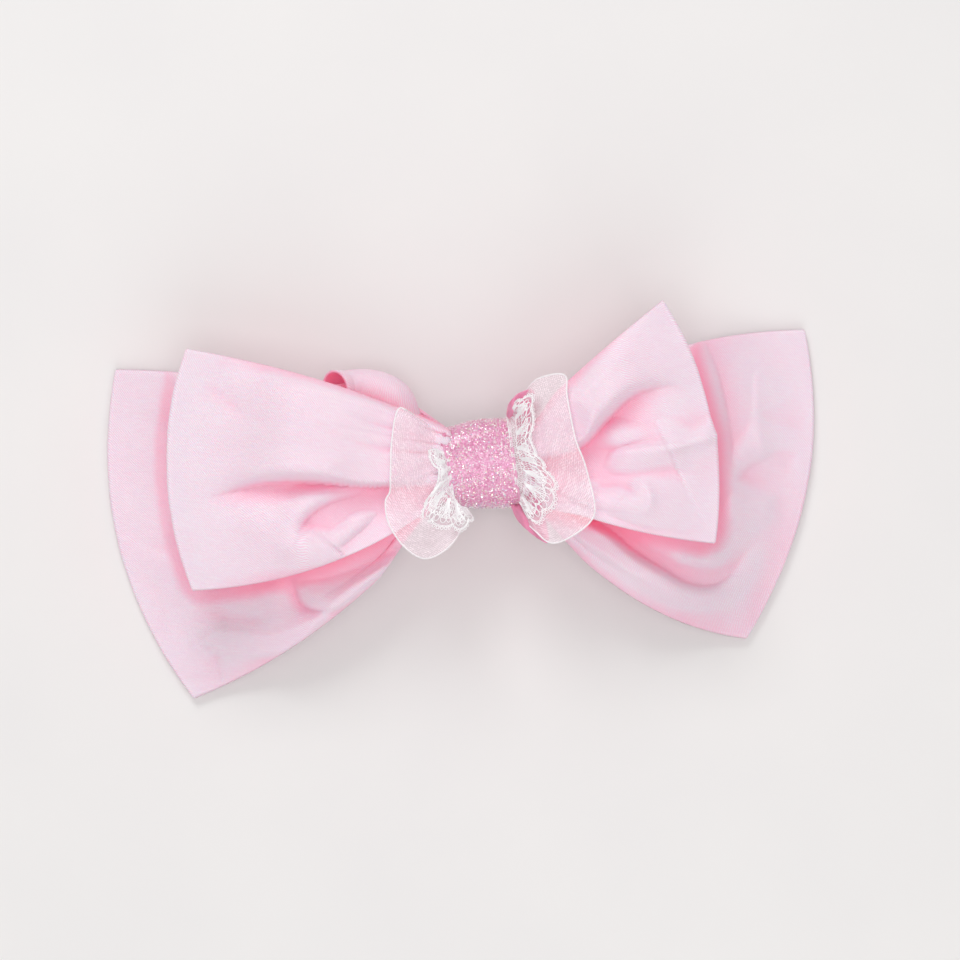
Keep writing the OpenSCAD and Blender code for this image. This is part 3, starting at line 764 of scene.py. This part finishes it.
small_right_folds = [
    # the upper half is one thick roll, over a crease that runs up and out
    ([(12, -0.5), (22.8, 3.4), (29.6, 10.2), (35.7, 15.5), (41, 18), (50, 19.5)], -6.8, 1.0, 9.5,
     (0.02, 0.55), 0.25),
    # sharp crease below it, and the ridge it turns into
    ([(12, -1.5), (24.3, 1.5), (31.1, 3.4), (38.7, 5.3), (46, 7)], -3.4, 1.4, 4.0, (0.02, 0.5), 0.2),
    ([(28, 1.5), (34, 2.8), (41.7, 3.4), (48.6, 4.7), (57.5, 7.5)], 2.4, 1.8, 3.2, (0.3, 0.12)),
    # hollows of the lower half, and the crease along its lower edge
    ([(14, -2.5), (24, -2.5), (34, -3), (46, -2), (57, -3)], -3.0, 3.0, 4.5, (0.03, 0.5)),
    ([(24, -7), (30, -5.5), (35, -6.5), (37, -10)], -2.2, 2.4, 2.4, (0.3, 0.4)),
    ([(35, -3.5), (39, -6), (40, -10), (37, -14)], 1.0, 1.4, 1.4, (0.3, 0.4)),
    ([(14, -6), (22, -9.5), (30, -13), (40, -16.5), (50, -19)], -1.4, 2.5, 1.4, (0.03, 0.5), 0.2),
    ([(14, 8), (22, 15), (30, 23), (40, 32)], 0.9, 3.0, 3.0, (0.1, 0.4)),
    ([(30, 8), (40, 13), (50, 14), (58, 12)], -2.4, 4.0, 5.0, (0.3, 0.3)),
]
large_left_folds = [
    # S-shaped ridge low on the loop, the small valley above it, and the hollow under the small loop
    ([(-17, -21), (-25, -26), (-32, -30.5), (-40, -37), (-48.5, -43), (-57, -45.5), (-68, -44), (-76, -47)],
     3.6, 4.2, 1.9, (0.1, 0.2)),
    ([(-50, -47), (-58, -49.5), (-67, -48.5), (-73, -52)], -0.8, 3.0, 3.0, (0.3, 0.3)),
    ([(-50, -27), (-48.5, -31), (-46.5, -35), (-43, -37), (-37, -36.5), (-30, -32)], -2.4, 1.0, 2.2,
     (0.3, 0.4), 0.3),
    ([(-52, -38), (-60, -39.5), (-68, -38.5), (-78, -34)], -1.0, 4.0, 3.4, (0.3, 0.4)),
    ([(-20, -20), (-28, -24), (-36, -27.5), (-46, -29.5), (-58, -30), (-70, -31)], -2.4, 5.0, 5.0,
     (0.1, 0.4)),
    ([(-88, 14), (-86, 2), (-84, -8), (-78, -20)], -2.2, 5.0, 3.5, (0.3, 0.3)),
    ([(-93, -14), (-88, -16), (-83, -20), (-78, -26)], -1.4, 2.0, 1.6, (0.25, 0.4), 0.2),
    ]
large_right_folds = [
    # deep wedge under the small loop, bounded by the edge of the lower roll
    ([(14, -8), (20, -11), (26, -14), (31, -17), (37, -22), (43.5, -26), (50, -29.5), (56, -30.3), (61, -28),
      (66, -22), (71, -15)],
     -6.4, 7.0, 0.9, (0.03, 0.55), 0.28),
    ([(44, -22), (50, -24), (56, -24.5), (62, -21)], 1.8, 2.2, 1.8, (0.3, 0.4)),
    ([(57, 34), (60, 22), (62, 8), (60, -8)], -4.6, 6.0, 2.0, (0.1, 0.45), 0.1),
    ([(60, -8), (64, -10.2), (69, -10.8), (74, -8.5)], 2.2, 1.8, 3.0, (0.3, 0.4)),
    ([(80, 2), (72, 0), (66, -3), (61, -4)], -2.0, 3.0, 2.4, (0.3, 0.4), 0.2),
    ([(82, 14), (74, 12), (66, 13)], -0.9, 2.6, 2.0, (0.3, 0.4), 0.2),
    ([(70, 30), (68, 18), (69, 6), (72, -6)], 0.8, 3.0, 3.0, (0.3, 0.3)),
]

loops = []
for name, loop, small, folds, seed, material, spread in (
        ("large_loop_left", LARGE_LEFT, False, large_left_folds, 11, SATIN_LARGE, 5.0),
        ("large_loop_right", LARGE_RIGHT, False, large_right_folds, 12, SATIN_LARGE, 1.0),
        ("small_loop_left", SMALL_LEFT, True, small_left_folds, 13, SATIN_SMALL, 0.0),
        ("small_loop_right", SMALL_RIGHT, True, small_right_folds, 14, SATIN_SMALL, 0.0)):
    obj = satin_loop(name + "_satin", loop, small, folds, seed, material, spread)
    loops.append(obj)
    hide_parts(name)
    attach(obj, "bow")


def store_nook(obj, values):
    """Gives each point of a piece its nook value, for the satin's painted shade and painted glow."""
    attribute = obj.data.attributes.new("nook", "FLOAT", "POINT")
    attribute.data.foreach_set("value", values.astype(np.float32))


def mark_nooks(objects, cell=1.0, near_blur=2.2, own_blur=4.3, shallow=0.35, half_depth=2.4):
    """Marks how deep each point lies between the bow's front and its back, from 0 on the open faces
    towards 1 deep in a fold or between layers: depth / (depth + half_depth). The depth is the smaller of
    its distances to an averaged front and back: those of the whole bow, averaged by a narrow bell curve on
    a square grid, or those of the piece alone, averaged by a broad one, whichever is the deeper."""
    points = []
    for o in objects:
        co = np.empty(len(o.data.vertices) * 3, np.float32)
        o.data.vertices.foreach_get("co", co)
        points.append(co.reshape(-1, 3) / MM)
    everything = np.vstack(points)
    margin = 4 * own_blur
    low = everything[:, :2].min(0) - margin
    size = np.ceil((everything[:, :2].max(0) + margin - low) / cell).astype(int) + 1
    kx = np.fft.fftfreq(size[0], cell)[:, None]
    ky = np.fft.rfftfreq(size[1], cell)[None]

    def levels(spots, blur):
        bell = np.exp(-2 * (np.pi * blur) ** 2 * (kx ** 2 + ky ** 2))
        where = tuple(((spots[:, :2] - low) / cell).round().astype(int).T)
        covered, top, bottom = np.zeros(size), np.zeros(size), np.full(size, 99.0)
        covered[where] = 1.0
        np.maximum.at(top, where, spots[:, 2])
        np.minimum.at(bottom, where, spots[:, 2])
        share, front, back = (np.fft.irfft2(np.fft.rfft2(field) * bell, s=size)
                              for field in (covered, top, bottom * covered))
        share = np.maximum(share, 0.05)
        return front / share, back / share

    whole_bow = levels(everything, near_blur)
    for o, p in zip(objects, points):
        place = (p[:, :2] - low).T / cell
        deepest = [np.minimum(four_nearest(front, *place) - p[:, 2], p[:, 2] - four_nearest(back, *place))
                   for front, back in (whole_bow, levels(p, own_blur))]
        depth = np.maximum(np.maximum(*deepest) - shallow, 0)
        # This value sets how much painted shade and painted glow the satin gets at each point.
        store_nook(o, depth / (depth + half_depth))


def rolled_edge():
    """The left band's back ply rolls up beside the waist: rings of an open tube are carried along an
    arch, each from under it, round its outer side and over its top."""
    along, around = 70, 28
    path = smooth_path([(-38.0, 18.4, 17.2), (-35.4, 18.8, 14.8), (-31.6, 18.9, 13.4), (-27, 18.0, 13.8),
                        (-23, 15.6, 14.2), (-20.6, 12, 14.4), (-19.4, 7.5, 14)], along)
    radius = smooth_path([(4.6, 0), (4.3, 0), (4.3, 0), (4.4, 0), (4.4, 0), (3.8, 0), (3.0, 0)], along)[:, :1]
    tangent = unit(np.gradient(path, axis=0))
    outward = unit(np.stack([-tangent[:, 1], tangent[:, 0], np.zeros(along)], -1))
    upward = np.cross(tangent, outward)
    angle = np.radians(np.linspace(-125, 165, around))
    flare = 1 + 0.10 * wander(np.linspace(0, 1, along), 77, 3, 1.0)[:, None]
    c, s = np.cos(angle)[None, :, None], np.sin(angle)[None, :, None]
    ring = path[:, None] + (radius * flare)[:, None] * (c * outward[:, None] + s * upward[:, None])
    obj = doubled_cloth("large_loop_left_roll", ring[:, ::-1], satin_t, SATIN_LARGE, 0.8)
    count = 2 * around - 2
    inside = np.arange(count) >= around
    # Painted shade and glow for the roll: nook values high on its inside, and rising from its top towards its
    # underside.
    under = np.concatenate([np.sin(angle[::-1]), np.sin(angle[1:-1])])
    shade = np.where(inside, 0.6, 0.05 + 0.45 * ease(0.35 - 0.7 * under))
    store_nook(obj, np.tile(shade, along))
    return obj


roll = rolled_edge()
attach(roll, "bow")
mark_nooks(loops)


# ---------------------------------------------------------------- gathered waists
def gathered_waist(name, z0, seed, material):
    """Pleated satin at the waist: a rounded box along the bow whose skin is folded into pleats,
    pinched by its binding in the middle."""
    n, m = 50, 180
    x = np.linspace(-gather_half - 0.6, gather_half + 0.6, n)
    a = np.linspace(0, 2 * np.pi, m, endpoint=False)
    pinch = 1 - 0.09 * np.exp(-(x / 2.0) ** 2) - 0.12 * ease((np.abs(x) - glitter_half + 1.2) / 1.8)
    sx, cx = np.sin(a), np.cos(a)
    round_y = np.sign(sx) * np.abs(sx) ** 0.55
    round_z = np.sign(cx) * np.abs(cx) ** 0.55
    depth = 1 - 0.05 * (1 + np.sin(a * 17 + 1.5 * np.sin(3 * a + seed)[None] + 0.15 * x[:, None]))
    y = round_y * (gather_y - 0.1) * depth * pinch[:, None]
    z = z0 + gather_t / 2 + round_z * (gather_t / 2 - 0.1) * depth * pinch[:, None]
    ring = np.stack([np.broadcast_to(x[:, None], y.shape), y, z], -1)
    uv = np.stack([ring[..., 0], np.broadcast_to(a * 8, y.shape)], -1)
    return make_piece(name, ring, grid_faces(n, m, close_v=True), material, uv)


for name, z0, seed, material in (("large_gather", large_z, 3, SATIN_LARGE),
                                 ("small_gather", small_z, 4, SATIN_SMALL)):
    obj = gathered_waist(name + "_satin", z0, seed, material)
    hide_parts(name)
    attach(obj, "bow")


# ---------------------------------------------------------------- ribbons wrapped over the waist
def band_edge(x_share, y):
    """Where the glitter band's width share x_share (-1 to 1) lies along the bow: the band is pulled
    askew, so its top leans to the left."""
    return x_share * (glitter_half - 0.1) - 1.5 - 0.13 * y


def frill(side, edge, inner_top, inner_bottom, lift, amplitude, waves, seed, n_out=36, n_round=150, start=0.0,
          hang=0.0):
    """Half of a wrapped ribbon: from the band's side out to its free edge. The free edge follows a few
    points in plan; ruffles grow towards it; the surface rides over the small loop by lift."""
    w = np.linspace(0, 1, n_round)
    t = np.linspace(start, 1, n_out)
    outer = smooth_path(edge, n_round)
    inner_y = inner_top + (inner_bottom - inner_top) * w
    inner = np.stack([band_edge(side * 0.93, inner_y), inner_y], -1)
    plan = inner[None] * (1 - t)[:, None, None] + outer[None] * t[:, None, None]
    tt, ww = np.meshgrid(t, w, indexing="ij")
    phase = ww * waves + 0.35 * wander(ww, seed, 4, 1.0)
    ruffle = np.sin(2 * np.pi * phase + 0.6 * tt) * amplitude * tt ** 1.2
    shift = np.cos(2 * np.pi * phase) * amplitude * 0.45 * tt ** 1.5
    tangent = unit(np.gradient(outer, axis=0))
    x = plan[..., 0] + shift * tangent[None, :, 0]
    y = plan[..., 1] + shift * tangent[None, :, 1]
    centre_y = (inner_top + inner_bottom) / 2
    reach_y = np.abs(y - centre_y)
    past_waist = np.clip((reach_y - gather_y * 0.75) / (gather_y * 0.6), 0, 1.3)
    waist = waist_top + lift + 0.4 - 9.0 * past_waist ** 2
    over = small_front(x, y) + lift + 0.3
    sides = np.abs(2 * ww - 1)
    over = over - hang * ease((sides - 0.72) / 0.28)
    crimp_turns = ww * waves * 2.3 + 0.2 * wander(ww, seed + 3, 4, 1.3)
    crimp = 0.40 * np.sin(2 * np.pi * crimp_turns) * (1 - 0.6 * tt)
    z = waist * (1 - ease(tt * 1.6)) + over * ease(tt * 1.6) + ruffle + amplitude * tt + crimp
    return np.stack([x, y, z], -1)


def ribbon_piece(name, sheets, material, t=0.0):
    """One mesh of several grids, each mapped in millimetres along and across the ribbon."""
    shells, uvs = [], []
    for k, grid in enumerate(sheets):
        faces = grid_faces(*grid.shape[:2])
        upward = grid_normals(grid)[..., 2].mean() > 0
        shells.append((grid.reshape(-1, 3), faces if upward else faces[:, ::-1]))
        uvs.append(np.stack([run_lengths(grid, 0) + 40 * k, run_lengths(grid, 1)], -1).reshape(-1, 2))
    obj = make_piece(name, *joined(shells), material, np.vstack(uvs))
    if t:
        solid = obj.modifiers.new("thickness", "SOLIDIFY")
        solid.thickness = t * MM
        solid.offset = 0
    return obj


def edge_cord(name, lines, radius, material, close=False):
    """Thin round cords that follow the edges of a ribbon."""
    return make_piece(name, *joined([tubes(line[None], radius, 8, close) for line in lines]), material)


organza_left_edge = [(-16.5, 10), (-19, 12.4), (-22, 12.9), (-23.4, 5.6), (-23.7, -2), (-23.9, -6.9),
                     (-25, -9.8), (-24, -15.2), (-20.2, -20.7), (-15.4, -23.5), (-10.5, -21.6), (-7, -17.6),
                     (-5.5, -13)]
organza_right_edge = [(9, 17), (12.5, 20.6), (18.9, 21.4), (19.6, 16), (21.6, 6), (24, -0.6), (26.2, -9.6),
                      (25.4, -14.2), (20, -18.4), (15.5, -19.6), (11.5, -16.5), (8, -13)]
lace_left_edge = [(-10, 3.6), (-14.8, 3.0), (-13.6, -0.4), (-12.1, -2.6), (-13.2, -6.5), (-16.4, -11.5),
                  (-15.7, -15.8), (-11, -16.6), (-6.4, -17.2), (-3.2, -14.6), (-4.5, -11.5)]
lace_right_edge = [(5.8, 13.8), (8.2, 16.2), (11.7, 16.8), (11.9, 11), (11.5, 5), (13.2, 1.5), (15.4, -1.5),
                   (18, -6.5), (17, -10.8), (13.5, -15.2), (10.5, -14.2), (8.4, -10.5)]
deep_right_edge = [(5.0, 12.6), (5.6, 14.8), (8.0, 17.2), (11.4, 17.6), (10.6, 12), (10.2, 4), (12, -4),
                   (13.4, -10), (14.8, -16), (14.9, -19.6), (11.6, -18), (7.8, -14.4), (5.8, -10.5)]
deep_left_edge = [(-9.5, 7.5), (-11, 7), (-11.5, 3), (-11, -4), (-11, -9), (-8.5, -11)]

organza_sheets = [frill(-1, organza_left_edge, 8, -9.5, 0.9, 1.1, 3.2, 21, hang=5.0),
                  frill(1, organza_right_edge, 11, -9, 0.9, 1.0, 3.4, 22, hang=5.0)]
organza = ribbon_piece("organza_ruffle", organza_sheets, ORGANZA)
organza_cord = edge_cord("organza_selvedge", [g[-1] for g in organza_sheets], 0.2, SELVEDGE)
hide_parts("organza_ribbon")

deep_sheets = [frill(1, deep_right_edge, 11, -10, -0.7, 0.4, 4.0, 23, hang=4.0),
               frill(-1, deep_left_edge, 7, -9.5, -0.9, 0.2, 3.0, 24, hang=5.0)]
deep = ribbon_piece("waist_ribbon_satin", deep_sheets, SATIN_DEEP, 0.35)
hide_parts("waist_ribbon")


# ---------------------------------------------------------------- lace, as its own threads
def lace_paths(length, width, seed):
    """Threads of the lace in its flat plane: along in [0, length], out from 0 to width. Fine round
    meshes fill it, larger ones lie along the edge, and each scallop has a fan of close threads and a
    thick outline. Returns fine rings, coarse rings and lines, as points (along, out)."""
    rng = np.random.default_rng(seed)
    count = max(int(round(length / 6.0)), 1)
    repeat = length / count
    turn = np.linspace(0, 2 * np.pi, 10, endpoint=False)

    def rings(first, last, pitch, radius, jitter):
        rows = np.arange(first, last, pitch * 0.86)
        starts = [np.arange(pitch * (0.5 + 0.5 * (k % 2)), length, pitch) for k in range(len(rows))]
        centres = np.concatenate([np.stack([along, np.full(len(along), out)], -1)
                                  for along, out in zip(starts, rows)])
        centres = centres + rng.normal(0, jitter, centres.shape)
        size = radius * rng.uniform(0.8, 1.12, (len(centres), 1))
        return np.stack([centres[:, :1] + size * np.cos(turn), centres[:, 1:] + size * np.sin(turn)], -1)

    def outline(a):
        return width - 1.1 + 1.1 * np.abs(np.sin(np.pi * a / repeat)) ** 0.7

    n = 14
    lines = []
    for k in range(count):
        middle = (k + 0.5) * repeat
        for rib in np.linspace(-1, 1, 7):
            share = np.linspace(0, 1, n)
            a = middle + repeat * (0.10 + 0.22 * share) * rib
            lines.append(np.stack([a, width * 0.30 + (outline(a) - width * 0.52) * share], -1))
        for half in range(2):
            a = (k + half / 2) * repeat + np.linspace(0, repeat / 2, n)
            for inset in (0.0, 0.28, 1.9):
                lines.append(np.stack([a, outline(a) - inset], -1))
            lines.append(np.stack([a, np.full(n, 0.25)], -1))
            lines.append(np.stack([a, width * 0.3 + 0.3 * np.sin(a * 2.1)], -1))
    edge_a = np.arange(0.4, length, 0.95)
    picots = np.stack([edge_a[:, None] + 0.34 * np.cos(turn),
                       outline(edge_a)[:, None] + 0.25 + 0.34 * np.sin(turn)], -1)
    fine = rings(0.5, width * 0.6, 1.0, 0.5, 0.07)
    coarse = np.concatenate([rings(width * 0.62, width - 1.2, 1.75, 0.82, 0.12), picots])
    return fine, coarse, np.array(lines)


def lay_on(grid, flat_paths, length, width):
    """Carries paths from the lace's flat plane to a curved grid, by mixing its four nearest points."""
    nu, nv = grid.shape[:2]
    i = np.clip(flat_paths[..., 1] / width * (nu - 1), 0, nu - 1.001)
    j = np.clip(flat_paths[..., 0] / length * (nv - 1), 0, nv - 1.001)
    return four_nearest(grid, i, j)


lace_width = 8.6
lace_shells, lace_sheets = [], []
for side, edge, top, bottom, seed in ((-1, lace_left_edge, 2.8, -10, 31), (1, lace_right_edge, 11.6, -9, 32)):
    cloth = frill(side, edge, top, bottom, 2.0, 0.55, 3.0, seed, n_out=60, n_round=320, hang=4.0)
    length = run_lengths(cloth, 1)[-5, -1]
    lace_sheets.append(cloth[:54:3, ::3])
    fine, coarse, lines = lace_paths(length, lace_width, seed)
    for paths, radius, ring in ((fine, 0.055, True), (coarse, 0.10, True), (lines, 0.10, False)):
        lace_shells.append(tubes(lay_on(cloth, paths, length, lace_width + 0.7), radius, 4, ring))
lace_work = make_piece("lace_threads", *joined(lace_shells), LACE_THREAD)
lace = ribbon_piece("lace_ruffle", lace_sheets, LACE_NET)
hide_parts("lace_ribbon")


# ---------------------------------------------------------------- glitter band
def band_section(a, y_half, z_half, power):
    """Rounded rectangle round the waist: a circle whose sine and cosine are raised to a power under one."""
    s, c = np.sin(a), np.cos(a)
    return np.sign(s) * np.abs(s) ** power * y_half, np.sign(c) * np.abs(c) ** power * z_half


def band_surface(x_share, a, raise_by=0.0):
    """Point of the glitter band: x_share from -1 to 1 across its width, a round the waist from its front.
    It is a little fuller in the middle and tilts slightly across the bow."""
    middle_z = (knot_back + knot_top) / 2
    crown = 0.25 * (1 - x_share ** 2)
    y, z = band_section(a, knot_half - 0.3 + crown + raise_by,
                        (knot_top - knot_back) / 2 - 0.3 + crown + raise_by, 0.62)
    x = band_edge(x_share, y)
    y = y - 0.012 * np.clip(4 - x, 0, 20) ** 2 * ease(y / 8)
    return np.stack([x, y, middle_z + z], -1)


n_across, n_round = 40, 260
share, angle = np.meshgrid(np.linspace(-1, 1, n_across), np.linspace(0, 2 * np.pi, n_round, endpoint=False),
                           indexing="ij")
outer = band_surface(share, angle, 0.0)
inner = band_surface(share, angle, -0.6)[::-1]
shell = np.concatenate([outer, inner])
band = make_piece("glitter_band_ribbon", shell, grid_faces(2 * n_across, n_round, close_u=True, close_v=True),
                  GLITTER_BASE)
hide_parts("glitter_band")
band_cord = edge_cord("glitter_band_edges", [outer[0], outer[-1]], 0.33, PINK_CORD, close=True)


def glitter(count, seed):
    """Six-sided flakes scattered over the band, each turned and tipped its own way and with its own colour:
    mostly white and pale silver, pinker and sparser over the middle, some lavender low on the band."""
    rng = np.random.default_rng(seed)
    x_share = rng.uniform(-0.97, 0.97, count)
    a = rng.uniform(-np.pi, np.pi, count)
    a = a - 0.28 * np.sin(2 * a)
    middle = np.exp(-((x_share / 0.45) ** 2 + (a / 0.55) ** 2))
    keep = rng.random(count) > 0.4 * middle
    x_share, a, middle = x_share[keep], a[keep], middle[keep]
    count = len(a)
    centre = band_surface(x_share, a, 0.05)
    ahead = band_surface(x_share, a + 0.01, 0.05) - centre
    aside = band_surface(x_share + 0.01, a, 0.05) - centre
    normal = np.cross(aside, ahead)
    normal *= np.sign((normal * (centre - [0, 0, (knot_back + knot_top) / 2])).sum(-1, keepdims=True))
    normal = unit(normal)
    tip = unit(normal + rng.normal(0, 0.42, (count, 3)))
    first = unit(np.cross(tip, rng.normal(0, 1, (count, 3))))
    second = np.cross(tip, first)
    size = rng.choice([0.08, 0.13, 0.20], count, p=[0.5, 0.38, 0.12])
    turn = np.linspace(0, 2 * np.pi, 6, endpoint=False)
    centre = centre + normal * rng.uniform(0.0, 0.30, (count, 1))
    spread = first[:, None] * np.cos(turn)[:, None] + second[:, None] * np.sin(turn)[:, None]
    corners = centre[:, None] + size[:, None, None] * spread
    palette = np.array([[1.0, 0.99, 0.95], [0.95, 0.76, 0.84], [0.90, 0.38, 0.60],
                        [0.93, 0.90, 0.72], [0.66, 0.62, 0.86], [0.72, 0.86, 0.90]])
    low = ease((np.abs(a) - 0.75) / 0.6) * (np.sin(a) < 0)
    same = np.ones(count)
    white, pale, pink = 0.30 - 0.14 * middle + 0.2 * low, 0.14 * same, 0.44 + 0.3 * middle - 0.25 * low
    cream, lavender, ice = 0.13 * same, 0.03 + 0.30 * low, 0.03 * same
    weights = np.stack([white, pale, pink, cream, lavender, ice], -1)
    weights /= weights.sum(-1, keepdims=True)
    pick = (rng.random((count, 1)) > weights.cumsum(-1)).sum(-1).clip(0, 5)
    colour = np.concatenate([palette[pick] * rng.uniform(0.8, 1.0, (count, 1)), np.ones((count, 1))], -1)
    faces = np.arange(count * 6).reshape(-1, 6)
    return make_piece("glitter_flakes", corners.reshape(-1, 3), faces, FLAKES, smooth=False,
                      colour=np.repeat(colour, 6, axis=0))


flakes = glitter(12000, 5)

for obj, slot_name in ((organza, "organza"), (organza_cord, "organza"), (deep, "satin_deep"),
                       (lace, "lace"), (lace_work, "lace"), (band, "glitter"), (band_cord, "glitter"),
                       (flakes, "glitter")):
    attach(obj, "bow")


# ---------------------------------------------------------------- felt, glue and the barrette
def pressed_pad(name, node, material, rim, seed, wobble):
    """A flat strip with round ends and a rounded rim: each ring of its outline is drawn in towards the middle
    while it climbs from the underside over the rim to the top."""
    low, high = span(node)
    half_x, half_y = high[0], high[1]
    n = 220
    s = np.linspace(0, 2 * np.pi, n, endpoint=False)
    straight = half_x - half_y
    ox = half_y * np.cos(s) + np.clip(np.cos(s) * 8, -1, 1) * straight
    oy = half_y * np.sin(s) + wobble * wander(s / (2 * np.pi), seed, 6, 3.0)
    middle, half_t = (low[2] + high[2]) / 2, (high[2] - low[2]) / 2
    inner = (0.999, 0.6, 0.3)

    def ring(inset_x, inset_y, z):
        return np.stack([ox * (1 - inset_x), oy * (1 - inset_y), np.full(n, z)], -1)

    rings = [ring(k, k, low[2]) for k in inner]
    for r in np.linspace(-np.pi / 2, np.pi / 2, 9):
        inset = rim * (1 - np.cos(r))
        rings.append(ring(inset / half_x, inset / half_y, middle + half_t * np.sin(r)))
    rings += [ring(k, k, high[2]) for k in inner[::-1]]
    obj = make_piece(name, np.array(rings), grid_faces(len(rings), n, close_v=True), material)
    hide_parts(node)
    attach(obj, "bow")
    return obj


felt = pressed_pad("felt_backing_pad", "felt_backing", FELT, 0.4, 51, 0.15)
glue = pressed_pad("glue_bead", "glue_pad", GLUE, 0.3, 52, 0.25)

for node, material in (("barrette_base", NICKEL), ("clasp_arm", NICKEL), ("hinge_pin", NICKEL),
                       ("spring_rivet", NICKEL), ("catch_bridge", NICKEL), ("catch_rivet", NICKEL),
                       ("tension_spring", SPRING_STEEL), ("catch_tab_front", SPRING_STEEL),
                       ("catch_tab_back", SPRING_STEEL), ("large_binding", BINDING),
                       ("small_binding", BINDING)):
    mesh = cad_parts[node].data
    mesh.materials.clear()
    mesh.materials.append(material)


# ---------------------------------------------------------------- stage, light and camera
def stage_material():
    """A pale, matt table."""
    material, tree, shader = new_material("pale_table")
    grain = noise(tree, object_mm(tree), 0.02, 3.0)
    colour = ramp(tree, grain, [(0.3, (0.84, 0.82, 0.815, 1)), (0.7, (0.86, 0.84, 0.83, 1))])
    feed_all(tree, shader, {"Base Color": colour, "Roughness": 0.6})
    return material


table_half = 3000
corners = [(x * table_half, y * table_half, 0) for x, y in ((-1, -1), (1, -1), (1, 1), (-1, 1))]
floor = make_piece("table_top", corners, [[0, 1, 2, 3]], stage_material(), smooth=False)


def soft_light(name, place, size, power):
    """A plain white square light of a size in metres and a power in watts, turned to the bow."""
    light = bpy.data.lights.new(name, "AREA")
    light.shape = "SQUARE"
    light.size = size
    light.energy = power
    obj = bpy.data.objects.new(name, light)
    bpy.context.scene.collection.objects.link(obj)
    obj.location = place
    direction = -obj.location
    obj.rotation_euler = direction.to_track_quat("-Z", "Y").to_euler()
    return obj


soft_light("top_softbox", (-0.25, 0.85, 0.85), 0.5, 5.1)
soft_light("overhead_softbox", (0.0, -0.10, 1.5), 0.7, 4.8)
soft_light("front_softbox", (0.15, -0.80, 0.80), 0.8, 2.75)
world = bpy.data.worlds.new("studio")
world.use_nodes = True
world.node_tree.nodes["Background"].inputs[0].default_value = (1.0, 1.0, 1.0, 1)
world.node_tree.nodes["Background"].inputs[1].default_value = 0.45
bpy.context.scene.world = world
bpy.context.scene.view_settings.view_transform = "Standard"

camera_height = 0.92
plane_height = 0.018
view_width = 0.24               # what the picture shows at the bow's own height
sensor_width = 36
camera_data = bpy.data.cameras.new("camera")
camera_data.sensor_width = sensor_width
camera_data.lens = sensor_width * (camera_height - plane_height) / view_width
camera_data.clip_start = 0.01
camera = bpy.data.objects.new("camera", camera_data)
camera.location = (-0.00175, -0.00425, camera_height)
bpy.context.scene.collection.objects.link(camera)
bpy.context.scene.camera = camera
